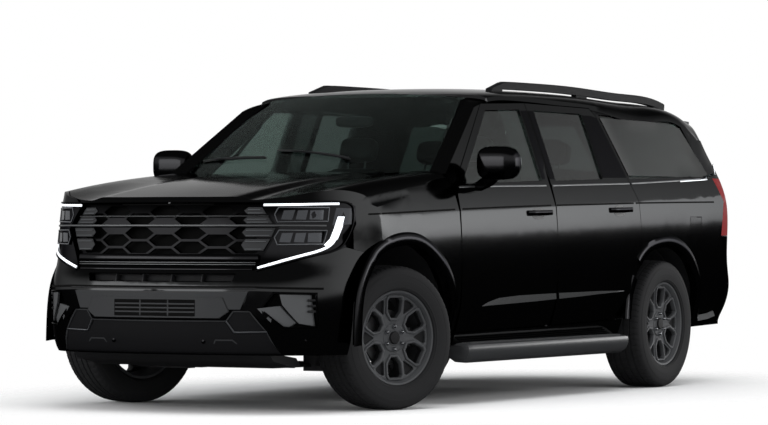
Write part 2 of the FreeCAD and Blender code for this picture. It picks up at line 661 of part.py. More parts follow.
def make_fenders():
    """Front fenders, from the headlamp to the door."""
    rear_edge = FRONT_DOOR_SHARES[0][0] * size.wheelbase + size.shut_gap
    outline = [(a * size.wheelbase, b * size.roof_height) for a, b in FENDER_SIDE_SHARES]
    outline = [(max(x, rear_edge), z) for x, z in outline]
    fender = front_shell.common(prism(outline, "XZ", FENDER_INNER_SHARE * size.half_width, FAR))
    fender = fender.cut(prism(inset(hood_outline, -size.shut_gap / 2), "XY", 0, HIGH))
    for cutter in (front_arch, lamp_hole, bumper_region(-size.fit_gap), front_sweep):
        fender = fender.cut(cutter)
    return both_sides(fender)


def bumper_region(gap):
    """Everything of the nose that is bumper, shrunk by the gap at its top."""
    top = front_outline(BUMPER_TOP_SHARES)
    top = [(y, z - gap) for y, z in top]
    low = -size.overrun
    outline = top + [(FAR, top[-1][1]), (FAR, low), (-FAR, low), (-FAR, top[-1][1])]
    outline += [(-y, z) for y, z in reversed(top)]
    return prism(outline, "YZ", 0, 2 * size.front_overhang)


def make_front_bumper():
    """Bumper that wraps from arch to arch, with its slot, grille and lamp openings."""
    body = sides(0).common(nose(0))
    inner = sides(size.bumper_wall).common(nose(size.bumper_wall))
    bumper = body.cut(inner).common(bumper_region(size.fit_gap))
    ahead = FRONT_ARCH_SHARES[6][0] * size.wheelbase - size.overrun
    base = BUMPER_BASE_SHARE * size.roof_height
    bumper = bumper.common(block(ahead, LONG, -FAR, FAR, base, HIGH))
    slot = prism(front_outline(SLOT_SHARES), "YZ", 0, 2 * size.front_overhang)
    lower = prism(front_outline(LOWER_GRILLE_SHARES), "YZ", 0, 2 * size.front_overhang)
    fog = prism(front_outline(FOG_SHARES), "YZ", 0, 2 * size.front_overhang)
    skid = front_outline(SKID_SHARES)
    skid = prism(inset(skid, -size.fit_gap), "YZ", 0, 2 * size.front_overhang)
    for cutter in (front_arch, slot, lower, fog, mirrored(fog), skid):
        bumper = bumper.cut(cutter)
    return bumper


def make_skid_panel():
    """Dark panel under the bumper that stands a little further back at its foot."""
    wall = nose(size.panel / 3).cut(nose(size.panel / 3 + size.bumper_wall))
    skid = wall.common(prism(front_outline(SKID_SHARES), "YZ", 0, 2 * size.front_overhang))
    return skid


def make_grille():
    """Honeycomb grille: a curved plate with staggered six-sided openings and a wide bar."""
    outline = inset(front_outline(GRILLE_SHARES), size.fit_gap)
    wall = nose(size.grille_set).cut(nose(size.grille_set + size.grille_thick))
    plate = wall.common(prism(outline, "YZ", 0, 2 * size.front_overhang))
    half_w = size.cell_width / 2
    half_h = size.cell_height / 2
    tip = half_w * CELL_TIP_SHARE
    step_y = size.cell_width - half_w * (1 - CELL_TIP_SHARE) + size.cell_web
    step_z = size.cell_height + size.cell_web
    heights = [z for y, z in outline]
    low, high = min(heights) + size.cell_web, max(heights) - size.cell_web
    bar = GRILLE_BAR_SHARE * size.roof_height
    field = inset(outline, size.cell_web)
    cells = []
    columns = int(FAR / step_y)
    rows = int((high - low) / step_z) + 1
    for i in range(-columns, columns + 1):
        for j in range(-rows, rows + 1):
            y = i * step_y
            z = bar + (j + (0.5 if i % 2 else 0)) * step_z
            cell = [(y - half_w, z), (y - tip, z - half_h), (y + tip, z - half_h),
                    (y + half_w, z), (y + tip, z + half_h), (y - tip, z + half_h)]
            if abs(z - bar) < half_h + size.cell_web / 2:
                continue
            if all(inside(point, field) for point in cell):
                cells.append(prism(cell, "YZ", 0, 2 * size.front_overhang))
    return plate.cut(Part.makeCompound(cells))


def inside(point, outline):
    """Whether a point lies inside an outline."""
    crossings = 0
    for a, b in zip(outline, outline[1:] + outline[:1]):
        if (a[1] > point[1]) != (b[1] > point[1]):
            reach = a[0] + (point[1] - a[1]) / (b[1] - a[1]) * (b[0] - a[0])
            crossings += reach > point[0]
    return crossings % 2 == 1


def make_headlamps():
    """Headlamp housings with their lens face stepped back inside the light strips."""
    body = sides(0).common(nose(0))
    inner = sides(LAMP_DEPTH_SHARE * size.half_width)
    inner = inner.common(nose(LAMP_DEPTH_SHARE * size.half_width))
    lamp = body.cut(inner).common(lamp_prism)
    lamp = lamp.common(block(LAMP_REAR_SHARE * size.wheelbase, LONG, 0, FAR, 0, HIGH))
    return both_sides(lamp)


# Body sides, doors and glass
front_door = side_outline(FRONT_DOOR_SHARES)
rear_door = side_outline(REAR_DOOR_SHARES)
front_window = side_outline(FRONT_WINDOW_SHARES)
rear_window = side_outline(REAR_WINDOW_SHARES)
quarter_window = side_outline(QUARTER_WINDOW_SHARES)
roof_underside = size.roof_wall + size.fit_gap


def wheel_pillar(gap):
    """Body pillar ahead of the rear wheel housing, as a prism on the left side."""
    return prism(inset(side_outline(WHEEL_PILLAR_SHARES), -gap), "XZ", 0, FAR)


def make_door(outline, core, window, hinge_x, neighbour_sweep):
    """A door: outer skin with its window frame, and the inner box below the window."""
    skin = side_wall(0, size.skin).common(prism(outline, "XZ", 0, FAR))
    skin = skin.cut(prism(window, "XZ", 0, FAR))
    box = side_wall(size.core_start, size.door_core)
    box = box.common(prism(inset(side_outline(core), size.core_inset), "XZ", 0, FAR))
    door = skin.fuse(box.cut(wheel_pillar(size.core_inset - size.frame_overlap)))
    if neighbour_sweep:
        door = door.cut(neighbour_sweep)
    door = door.cut(rear_arch)
    axis_y = size.half_width - size.hinge_depth
    half = size.hinge_barrel / 2
    for share in HINGE_HEIGHT_SHARES:
        z = share * size.roof_height
        low, high = z - size.hinge_length / 2, z + size.hinge_length / 2
        room = size.swing_play
        clear = block(hinge_x - half, hinge_x + half, axis_y - half, size.half_width - size.skin,
                      low - size.hinge_leaf - room, high + size.hinge_leaf + room)
        barrel = block(hinge_x - half - size.fit_gap, hinge_x + half, axis_y - half,
                       axis_y + half, low, high)
        bore = Part.makeCylinder(size.hinge_pin + size.seat_gap, high - low, vec(hinge_x, axis_y, low))
        door = door.cut(clear).fuse(barrel).cut(bore)
    return door


def hinge_half(hinge_x):
    """The body's half of a door hinge: a pin between two leaves."""
    axis_y = size.half_width - size.hinge_depth
    parts = []
    half = size.hinge_pin
    inner = size.half_width - size.frame_depth + size.overrun
    for share in HINGE_HEIGHT_SHARES:
        z = share * size.roof_height
        low, high = z - size.hinge_length / 2, z + size.hinge_length / 2
        pin = Part.makeCylinder(size.hinge_pin, high - low + 2 * size.fit_gap,
                                vec(hinge_x, axis_y, low - size.fit_gap))
        parts.append(pin)
        for start in (low - size.fit_gap - size.hinge_leaf, high + size.fit_gap):
            parts.append(block(hinge_x - half, hinge_x + half, inner, axis_y + size.hinge_pin,
                               start, start + size.hinge_leaf))
    return parts


def make_side_frames():
    """Hinge, centre and rear pillars, sill, roof side and windscreen pillar of both sides."""
    ring = side_wall(size.skin + size.seal_gap, size.frame_depth)
    ring = ring.common(prism(side_outline(FRAME_SHARES), "XZ", 0, FAR))
    ring = ring.cut(prism(inset(front_door, size.frame_overlap), "XZ", 0, FAR))
    opening = prism(inset(rear_door, size.frame_overlap), "XZ", 0, FAR)
    ring = ring.cut(opening.cut(wheel_pillar(0)))
    ring = ring.cut(front_sweep).cut(rear_sweep)
    sill = side_wall(0, size.frame_depth).common(prism(side_outline(SILL_SHARES), "XZ", 0, FAR))
    pillar = side_wall(0, size.pillar_depth)
    pillar = pillar.common(prism(side_outline(WINDSCREEN_PILLAR_SHARES), "XZ", 0, FAR))
    frame = ring.fuse([sill, pillar] + hinge_half(front_hinge_x) + hinge_half(rear_hinge_x))
    return both_sides(frame.cut(sky(roof_underside)))


def make_quarter_panels():
    """Rear quarters with the wheel arch, the rear pillar and its window opening."""
    shell = rear_volume(0).cut(rear_volume(size.skin))
    quarter = shell.common(prism(side_outline(QUARTER_SHARES), "XZ", 0, FAR))
    quarter = quarter.cut(prism(inset(rear_door, -size.shut_gap), "XZ", 0, FAR))
    quarter = quarter.cut(prism(quarter_window, "XZ", 0, FAR))
    quarter = quarter.cut(sky(roof_underside))
    gate = prism(inset(front_outline(GATE_HOLE_SHARES), -size.shut_gap), "YZ", -LONG,
                 -size.wheelbase)
    lamp = prism(inset(front_outline(TAIL_LAMP_SHARES), -size.fit_gap), "YZ", -LONG, 0)
    lamp = lamp.common(prism(inset(side_outline(TAIL_LAMP_SIDE_SHARES), -size.fit_gap), "XZ", 0, FAR))
    bumper = prism(inset(side_outline(REAR_BUMPER_SHARES), -size.fit_gap), "XZ", 0, FAR)
    door = prism(inset(side_outline(FUEL_DOOR_SHARES), -size.shut_gap), "XZ", 0, FAR)
    for cutter in (gate, lamp, bumper, rear_arch):
        quarter = quarter.cut(cutter)
    recess = side_wall(0, size.skin / 2).common(door)
    return Part.makeCompound(quarter.cut(recess).Solids + mirrored(quarter).Solids)


def make_fuel_door():
    """Flap in the left rear quarter."""
    flap = side_wall(0, size.skin / 2 - size.seat_gap)
    return flap.common(prism(side_outline(FUEL_DOOR_SHARES), "XZ", 0, FAR))


def make_tail_lamps():
    """Rear lamps that wrap round the corners."""
    deep = LAMP_DEPTH_SHARE * size.half_width / 2
    shell = rear_volume(0).cut(rear_volume(deep))
    lamp = shell.common(prism(front_outline(TAIL_LAMP_SHARES), "YZ", -LONG, 0))
    lamp = lamp.common(prism(side_outline(TAIL_LAMP_SIDE_SHARES), "XZ", 0, FAR))
    return both_sides(lamp)


def make_rear_bumper():
    """Rear bumper from arch to arch, with its step over the tailgate's foot."""
    shell = rear_volume(0).cut(rear_volume(size.bumper_wall))
    bumper = shell.common(prism(side_outline(REAR_BUMPER_SHARES), "XZ", -FAR, FAR))
    gate = front_outline(TAILGATE_SHARES)
    wide = gate[0][0] + size.shut_gap
    base = gate[0][1] - size.shut_gap
    bumper = bumper.cut(block(-LONG, -size.wheelbase, -wide, wide, base, HIGH))
    bumper = bumper.cut(rear_arch)
    return bumper


def make_roof():
    """Roof panel from the windscreen header to the liftgate."""
    shell = roof_top(0).cut(roof_top(size.roof_wall)).common(sides(0)).common(tail(0))
    edge = plan_outline(ROOF_PLAN_SHARES)
    roof = shell.common(prism(edge + [(x, -y) for x, y in reversed(edge[1:-1])], "XY", 0, HIGH))
    for outline in (front_door, rear_door):
        roof = roof.cut(across_body(inset(outline, -size.shut_gap), "XZ", FAR))
    return roof


def make_roof_rails():
    """Roof rails on three feet each."""
    half = size.roof_rail_width / 2
    y0, y1 = size.roof_rail_half - half, size.roof_rail_half + half
    rise = side_outline(ROOF_RAIL_SHARES)
    bar = prism(rise, "XZ", y0, y1)
    bar = bar.cut(roof_top(-size.roof_rail_lift))
    top = roof_top(-size.roof_rail_lift - size.roof_rail_thick)
    bar = bar.common(top)
    feet = []
    for share in ROOF_FOOT_SHARES:
        x = share * size.wheelbase
        foot = block(x, x + FOOT_SHARE * size.wheelbase, y0, y1, 0, HIGH)
        feet.append(foot.common(top).cut(roof_top(0)))
    return both_sides(bar.fuse(feet))


def screen_patch(shares, wall):
    """A curved pane through its four corners and two middle points, thick inward."""
    rows = []
    low_x, low_z, high_x, high_z, sweep, half_low, half_high, bulge = shares
    steps = (0.0, 0.25, 0.5, 0.75, 1.0)
    for up in steps:
        x = (low_x + (high_x - low_x) * up) * size.wheelbase
        z = (low_z + (high_z - low_z) * up) * size.roof_height
        z += bulge * 4 * up * (1 - up) * size.roof_height
        half = (half_low + (half_high - half_low) * up) * size.half_width
        row = []
        for share in mirrored_shares([0.0, 0.3, 0.6, 0.85, 1.08]):
            row.append(vec(x - sweep * size.wheelbase * share ** 2 * (1 - up / 2), share * half,
                           z - SCREEN_CROWN_SHARE * size.roof_height * share ** 2 * up))
        rows.append(row)
    return field_solid(rows, vec(-wall * 0.6, 0, -wall * 0.8))


def make_fixed_glass():
    """Windscreen and the two quarter windows."""
    screen = screen_patch(SCREEN_SHARES, size.glass_thick)
    screen = screen.common(sides(size.pillar_depth + size.fit_gap))
    pane = side_wall(size.glass_set, size.glass_set + size.glass_thick)
    pane = pane.common(prism(inset(quarter_window, size.seat_gap), "XZ", 0, FAR))
    return Part.makeCompound(screen.Solids + pane.Solids + mirrored(pane).Solids)


def make_glass(window):
    """A door window, set in from the frame's face."""
    pane = side_wall(size.glass_set, size.glass_set + size.glass_thick)
    return pane.common(prism(inset(window, size.seat_gap), "XZ", 0, FAR))


def make_liftgate():
    """Liftgate with its window opening and the spoiler that carries on the roof."""
    wall = tail(0).cut(tail(size.gate_wall))
    gate = wall.common(prism(front_outline(GATE_SHARES), "YZ", -LONG, -size.wheelbase))
    gate = gate.cut(prism(front_outline(GATE_GLASS_SHARES), "YZ", -LONG, -size.wheelbase))
    start, end = [share * size.wheelbase for share in SPOILER_SHARES]
    half = GATE_SHARES[2][0] * size.half_width
    reach = block(start, end, -half, half, 0, HIGH)
    spoiler = roof_top(0).cut(roof_top(size.roof_wall)).common(reach)
    return gate.cut(sky(0)).cut(block(end, 0, -FAR, FAR, 0, HIGH)).fuse(spoiler)


def make_liftgate_glass():
    """Heated rear window."""
    wall = tail(size.glass_set).cut(tail(size.glass_set + size.glass_thick))
    outline = inset(front_outline(GATE_GLASS_SHARES), size.seat_gap)
    return wall.common(prism(outline, "YZ", -LONG, -size.wheelbase))


def make_tailgate():
    """Short lower tailgate between the bumper and the liftgate."""
    wall = tail(0).cut(tail(size.gate_wall))
    return wall.common(prism(front_outline(TAILGATE_SHARES), "YZ", -LONG, -size.wheelbase))


# Running gear
def wheel_place(side, front):
    """Placement of a wheel drawn about its own axle, the front ones turned as parked."""
    lift = size.tyre_radius
    flip = FreeCAD.Rotation(vec(0, 0, 1), 0 if side > 0 else 180)
    if not front:
        spot = vec(AXLE_TO_MIDDLE - size.wheelbase, side * size.half_track, lift)
        return FreeCAD.Placement(spot, flip)
    turn = FreeCAD.Rotation(vec(0, 0, 1), STEER_SHARE * 360)
    arm = turn.multVec(vec(0, side * size.kingpin_inset, 0))
    kingpin = side * (size.half_track - size.kingpin_inset)
    return FreeCAD.Placement(vec(AXLE_TO_MIDDLE + arm.x, kingpin + arm.y, lift), turn.multiply(flip))


def origin_plane(body, role):
    """The body's own origin plane with the given role."""
    return [item for item in body.Origin.OriginFeatures if item.Role == role][0]


def bound_sketch(body, name, role, corners):
    """A closed outline whose corners are bound to the sheet, each a pair of expressions."""
    sketch = body.newObject("Sketcher::SketchObject", name)
    sketch.AttachmentSupport = [(origin_plane(body, role), "")]
    sketch.MapMode = "FlatFace"
    values = [(sketch.evalExpression(a), sketch.evalExpression(b)) for a, b in corners]
    values = [(float(a), float(b)) for a, b in values]
    count = len(corners)
    for i in range(count):
        start, end = values[i], values[(i + 1) % count]
        sketch.addGeometry(Part.LineSegment(vec(*start, 0), vec(*end, 0)), False)
    for i in range(count):
        sketch.addConstraint(Sketcher.Constraint("Coincident", i, 2, (i + 1) % count, 1))
    for i, (across, up) in enumerate(corners):
        for kind, text, value in (("DistanceX", across, values[i][0]),
                                  ("DistanceY", up, values[i][1])):
            index = sketch.addConstraint(Sketcher.Constraint(kind, -1, 1, i, 1, value))
            if value:
                sketch.setExpression(f"Constraints[{index}]", text)
    return sketch


def revolved_body(name, corners):
    """A body turned about the Y axis from an outline of (along axle, radius) expressions."""
    body = doc.addObject("PartDesign::Body", name)
    body.Label = name
    sketch = bound_sketch(body, name + "_outline", "YZ_Plane", corners)
    turned = body.newObject("PartDesign::Revolution", name + "_turned")
    turned.Profile = sketch
    turned.ReferenceAxis = (sketch, ["H_Axis"])
    turned.Angle = 360
    return body


TYRE_OUTLINE = [
    ("-sizes.rim_width / 2", "sizes.rim_radius + sizes.seat_gap"),
    ("-sizes.tyre_width / 2", "sizes.rim_radius + sizes.tyre_width * 0.2"),
    ("-sizes.tyre_width / 2", "sizes.tyre_radius - sizes.tyre_width * 0.14"),
    ("-sizes.tyre_width * 0.38", "sizes.tyre_radius"),
    ("sizes.tyre_width * 0.38", "sizes.tyre_radius"),
    ("sizes.tyre_width / 2", "sizes.tyre_radius - sizes.tyre_width * 0.14"),
    ("sizes.tyre_width / 2", "sizes.rim_radius + sizes.tyre_width * 0.2"),
    ("sizes.rim_width / 2", "sizes.rim_radius + sizes.seat_gap"),
]
WHEEL_OUTLINE = [
    ("-sizes.rim_width / 2", "sizes.rim_radius"),
    ("sizes.rim_width / 2", "sizes.rim_radius"),
    ("sizes.rim_width / 2", "sizes.rim_radius - sizes.rim_wall"),
    ("sizes.rim_width * 0.36", "sizes.rim_radius - sizes.rim_wall * 1.6"),
    ("sizes.rim_width * 0.36", "0"),
    ("sizes.rim_width * 0.12", "0"),
    ("sizes.rim_width * 0.12", "sizes.spindle_radius + sizes.spindle_play"),
    ("-sizes.rim_wall", "sizes.spindle_radius + sizes.spindle_play"),
    ("-sizes.rim_wall", "sizes.disc_radius"),
    ("-sizes.rim_wall + sizes.disc_thick", "sizes.disc_radius"),
    ("-sizes.rim_wall + sizes.disc_thick", "sizes.hub_radius"),
    ("sizes.rim_width * 0.2", "sizes.hub_radius"),
    ("sizes.rim_width * 0.2", "sizes.rim_radius - sizes.rim_wall"),
    ("-sizes.rim_width / 2", "sizes.rim_radius - sizes.rim_wall"),
]
# One wheel window: distance from the axle and half width, as shares of the rim's radius
WHEEL_WINDOW_SHARES = [
    (0.40, 0.085), (0.62, 0.235), (0.80, 0.262), (0.862, 0.20), (0.862, -0.20), (0.80, -0.262),
    (0.62, -0.235), (0.40, -0.085),
]


def make_tyre(name, place):
    """A tyre with flat tread, shoulders and sidewalls that bulge past the rim."""
    body = revolved_body(name, TYRE_OUTLINE)
    body.Placement = place
    NODES[name] = body


def make_wheel(name, place):
    """Wheel with six windows, its hub, and the brake disc that turns with it."""
    body = revolved_body(name, WHEEL_OUTLINE)
    window = body.newObject("Sketcher::SketchObject", name + "_window")
    window.AttachmentSupport = [(origin_plane(body, "XZ_Plane"), "")]
    window.MapMode = "FlatFace"
    window.AttachmentOffset = FreeCAD.Placement(vec(0, 0, -size.rim_width), FreeCAD.Rotation())
    corners = [(half * size.rim_radius, out * size.rim_radius) for out, half in WHEEL_WINDOW_SHARES]
    for start, end in zip(corners, corners[1:] + corners[:1]):
        window.addGeometry(Part.LineSegment(vec(*start, 0), vec(*end, 0)), False)
    doc.recompute()
    full = body.Shape.Volume
    pocket = body.newObject("PartDesign::Pocket", name + "_pocket")
    pocket.Profile = window
    pocket.setExpression("Length", "sizes.rim_width + sizes.rim_wall - sizes.disc_thick * 1.2")
    doc.recompute()
    if pocket.Shape.Volume > full * 0.9999:
        pocket.Reversed = True
    pattern = body.newObject("PartDesign::PolarPattern", name + "_windows")
    pattern.Originals = [pocket]
    pattern.Axis = (body.getObject(name + "_outline"), ["H_Axis"])
    pattern.Angle = 360
    pattern.Occurrences = 6
    body.Tip = pattern
    body.Placement = place
    NODES[name] = body


def make_knuckle(side):
    """Steering knuckle with its stub, ball joint posts and brake caliper, as parked."""
    reach = size.kingpin_inset
    lift = size.tyre_radius
    thick = size.spindle_radius * 1.6
    top = size.rim_radius * KNUCKLE_POST_SHARE
    post = block(-thick / 2, thick / 2, -thick / 2, thick / 2, -top, top)
    inner = -size.rim_wall - size.swing_play
    boss = rod(vec(0, -thick / 2, 0), vec(0, reach + inner, 0), size.hub_radius)
    stub = rod(vec(0, 0, 0), vec(0, reach + size.rim_width * 0.1, 0), size.spindle_radius)
    jaw_out = size.disc_radius * 1.08
    jaw_in = size.disc_radius * 0.66
    jaw = block(-jaw_out, -jaw_in, reach - size.rim_wall - size.disc_thick,
                reach + size.disc_thick * 1.1, -jaw_in / 2, jaw_in / 2)
    play = size.swing_play
    slot = Part.makeCylinder(size.disc_radius + play, size.disc_thick + 2 * play,
                             vec(0, reach - size.rim_wall - play, 0), vec(0, 1, 0))
    arm_low = reach - size.rim_wall - size.disc_thick
    arm = block(-jaw_out, 0, -thick / 2, arm_low + size.disc_thick - play, -thick / 2, thick / 2)
    knuckle = post.fuse([boss, stub, arm.common(block(-jaw_out, 0, -FAR, inner + reach, -FAR, FAR)),
                         jaw.cut(slot)])
    if side < 0:
        knuckle = mirrored(knuckle)
    turn = FreeCAD.Rotation(vec(0, 0, 1), STEER_SHARE * 360)
    kingpin = side * (size.half_track - size.kingpin_inset)
    name = "knuckle_left" if side > 0 else "knuckle_right"
    feature = place_node(name, knuckle)
    feature.Placement = FreeCAD.Placement(vec(AXLE_TO_MIDDLE, kingpin, lift), turn)


def make_front_suspension():
    """Upper and lower arms from the frame to the ball joints under and over each knuckle."""
    kingpin = size.half_track - size.kingpin_inset
    post = size.rim_radius * KNUCKLE_POST_SHARE
    thick = size.spindle_radius
    rail_out = size.rail_half + size.rail_width
    parts = []
    for sign in (-1, 1):
        z = size.tyre_radius + sign * (post + size.seat_gap + thick / 2)
        low, high = z - thick / 2, z + thick / 2
        root = rail_out + size.seat_gap
        spread = ARM_SPREAD_SHARE * size.wheelbase
        tip = thick * 0.45
        arm = prism([(spread, root), (spread - 2 * thick, root), (tip * 0.4, kingpin - 2 * thick),
                     (-tip * 0.4, kingpin - 2 * thick), (-spread + 2 * thick, root),
                     (-spread, root), (-tip, kingpin + tip), (tip, kingpin + tip)], "XY", low, high)
        parts.append(arm)
    tower_low = FRAME_TOP_SHARE * size.roof_height + size.seat_gap
    tower_high = size.tyre_radius + post + size.seat_gap + thick
    for sign in (-1, 1):
        x = sign * (ARM_SPREAD_SHARE * size.wheelbase - thick)
        parts.append(block(x - thick, x + thick, size.rail_half, rail_out + size.seat_gap,
                           tower_low, tower_high))
        parts.append(block(x - thick, x + thick, size.rail_half, rail_out + size.seat_gap,
                           size.tyre_radius - post - size.seat_gap - thick,
                           FRAME_BASE_SHARE * size.roof_height - size.seat_gap))
    upper = parts[1].fuse([parts[2], parts[4]])
    lower = parts[0].fuse([parts[3], parts[5]])
    left = upper.Solids + lower.Solids
    right = mirrored(upper).Solids + mirrored(lower).Solids
    place_node("front_suspension", Part.makeCompound(left + right))


def make_rear_suspension():
    """Rear hub carriers with their stubs and lower arms, one assembly a side."""
    lift = size.tyre_radius
    axle = -size.wheelbase
    thick = size.spindle_radius * 1.6
    inner = size.half_track - size.rim_wall - size.swing_play
    low = lift - size.rim_radius * KNUCKLE_POST_SHARE
    carrier = block(axle - thick, axle + thick, inner - thick, inner, low, lift + size.hub_radius)
    stub = rod(vec(axle, inner - thick, lift),
               vec(axle, size.half_track + size.rim_width * 0.1, lift), size.spindle_radius)
    root = size.rail_half + size.rail_width / 2
    arm = prism([(axle - 2 * thick, root), (axle + 2 * thick, root), (axle + thick, inner),
                 (axle - thick, inner)], "XY", low, low + thick)
    hanger = block(axle - thick, axle - size.half_shaft * 1.5, root, root + thick, low,
                   REAR_RAIL_BASE_SHARE * size.roof_height - size.seat_gap)
    side = carrier.fuse([stub, arm, hanger])
    place_node("rear_suspension", both_sides(side))


def make_driveline():
    """Gearbox, propeller shaft, rear differential and its two half shafts."""
    lift = size.tyre_radius
    axle = -size.wheelbase
    start = ENGINE_REAR_SHARE * size.wheelbase - size.seat_gap
    level = GEARBOX_LEVEL_SHARE * size.roof_height
    box_radius = gearbox_radius()
    box_end = start - size.engine_length * 1.15
    gearbox = Part.makeCone(box_radius, box_radius * 0.55, start - box_end, vec(start, 0, level),
                            vec(-1, 0, 0))
    diff_front = axle + size.hub_radius * 3
    shaft = rod(vec(box_end + size.sheet, 0, level), vec(diff_front, 0, lift), size.shaft_radius)
    case = size.hub_radius * 1.8
    bevel = case * 0.45
    eight = [(-case, -bevel), (-bevel, -case), (bevel, -case), (case, -bevel), (case, bevel),
             (bevel, case), (-bevel, case), (-case, bevel)]
    housing = across_body([(axle + a, lift + b) for a, b in eight], "XZ", case)
    snout = rod(vec(diff_front, 0, lift), vec(axle, 0, lift), size.shaft_radius * 1.5)
    inner = size.half_track - size.rim_wall - size.swing_play - size.spindle_radius * 1.6
    axle_bar = rod(vec(axle, -inner + size.seat_gap, lift), vec(axle, inner - size.seat_gap, lift),
                   size.half_shaft)
    place_node("driveline", gearbox.fuse([shaft, housing, snout, axle_bar]))


def make_exhaust():
    """Exhaust pipe down the right side to a silencer and a tail pipe."""
    y = -EXHAUST_HALF_SHARE * size.half_width
    level = EXHAUST_LEVEL_SHARE * size.roof_height
    start = ENGINE_REAR_SHARE * size.wheelbase - size.seat_gap
    drum = SILENCER_SHARE * size.wheelbase
    end = PIPE_END_SHARE * size.wheelbase
    length = size.silencer_radius * 6
    pipe = rod(vec(start, y, level), vec(drum, y, level), size.pipe_radius)
    silencer = rod(vec(drum, y, level), vec(drum - length, y, level), size.silencer_radius)
    back = rod(vec(drum - length, y, level), vec(end, y, level), size.pipe_radius)
    hangers = [block(x, x + size.sheet, y - size.sheet / 2, y + size.sheet / 2, level,
                     size.floor_height - size.seat_gap)
               for x in [share * size.wheelbase for share in HANGER_SHARES]]
    place_node("exhaust", pipe.fuse([silencer, back] + hangers))


def gearbox_radius():
    """Radius of the gearbox where it meets the engine."""
    return size.engine_width * 0.22


def tunnel(wall):
    """Room for the gearbox above the floor's underside, grown by a wall."""
    radius = gearbox_radius() + size.sheet + wall
    start = vec(ENGINE_REAR_SHARE * size.wheelbase, 0, GEARBOX_LEVEL_SHARE * size.roof_height)
    cone = Part.makeCone(radius, radius * 0.6, size.engine_length * 1.3 + wall, start, vec(-1, 0, 0))
    front = -size.bulkhead if wall else start.x
    return cone.common(block(-LONG, front, -FAR, FAR, size.floor_height, HIGH))


def make_frame():
    """Ladder frame with kicked-up rails, cross members, body mounts and hitch receiver."""
    y0, y1 = size.rail_half, size.rail_half + size.rail_width
    posts = []
    for share in MOUNT_SHARES:
        x, y = share * size.wheelbase, y0 + size.rail_width / 2
        posts.append(block(x - size.overrun, x + size.overrun, y - size.overrun, y + size.overrun,
                           FRAME_REST_SHARE * size.roof_height, size.floor_height))
    rail = prism(side_outline(RAIL_SHARES), "XZ", y0, y1).fuse(posts)
    members = []
    for a, b in CROSS_SHARES:
        x, z = a * size.wheelbase, b * size.roof_height
        members.append(block(x - size.cross_length, x, -y0, y0, z, z + size.cross_height))
    half = size.receiver_bore / 2 + size.receiver_wall
    middle = RECEIVER_SHARE * size.roof_height
    mouth = RECEIVER_MOUTH_SHARE * size.wheelbase
    start = CROSS_SHARES[-1][0] * size.wheelbase - size.cross_length / 2
    hanger_top = CROSS_SHARES[-1][1] * size.roof_height + size.overrun
    receiver = members.pop().fuse([
        block(mouth, start, -half, half, middle - half, middle + half),
        block(start - size.cross_length / 2, start, -half, half, middle, hanger_top)])
    bore = size.receiver_bore / 2
    receiver = receiver.cut(block(mouth, start - size.cross_length / 2, -bore, bore,
                                  middle - bore, middle + bore))
    pin_x = mouth + size.receiver_bore
    receiver = receiver.cut(rod(vec(pin_x, -half * 2, middle), vec(pin_x, half * 2, middle),
                                size.receiver_pin))
    solids = rail.Solids + mirrored(rail).Solids + receiver.Solids
    frame = Part.makeCompound(solids + [member.Solids[0] for member in members])
    place_node("chassis_frame", frame)


def make_floor():
    """Floor with its step over the rear axle, bulkhead, cowl and inner wings."""
    half = size.half_width
    thick = size.sheet
    profile = side_outline(FLOOR_SHARES)
    upper = [(x, z + thick) for x, z in reversed(profile)]
    floor = prism(profile + upper, "XZ", -half, half)
    bulkhead = block(-size.bulkhead - thick, -size.bulkhead, -half, half, size.floor_height,
                     COWL_SHARE * size.roof_height)
    wide = FENDER_INNER_SHARE * size.half_width - size.fit_gap
    cowl = block(-size.bulkhead - thick, COWL_FRONT_SHARE * size.wheelbase, -wide, wide,
                 COWL_SHARE * size.roof_height - thick, COWL_SHARE * size.roof_height)
    gate = size.gate_wall + size.seat_gap
    low, high = [share * size.roof_height for share in REAR_SILL_SHARES]
    half_gate = TAILGATE_SHARES[0][0] * size.half_width
    lip = tail(gate).cut(tail(gate + thick)).common(block(-LONG, 0, -half_gate, half_gate, low, high))
    cabin = floor.fuse([bulkhead, cowl, tunnel(thick), lip])
    beyond = block(-LONG, -size.wheelbase, -FAR, FAR, -FAR, HIGH).cut(tail(gate))
    cabin = cabin.common(sides(size.frame_depth + size.seat_gap)).cut(beyond).cut(tunnel(0))
    lift = size.tyre_radius
    axle = -size.wheelbase
    outer = size.half_width - size.frame_depth
    tub = Part.makeCylinder(size.tub_radius + thick, outer - size.tub_half + thick,
                            vec(axle, size.tub_half - thick, lift), vec(0, 1, 0))
    room = Part.makeCylinder(size.tub_radius, outer - size.tub_half + size.overrun,
                             vec(axle, size.tub_half, lift), vec(0, 1, 0))
    below = block(axle - 2 * size.tub_radius, axle + 2 * size.tub_radius, -FAR, FAR, -FAR,
                  size.rear_floor - size.overrun)
    for hollow, shell in ((room, tub), (mirrored(room), mirrored(tub))):
        cabin = cabin.fuse(shell.cut(below)).cut(hollow)
    return cabin


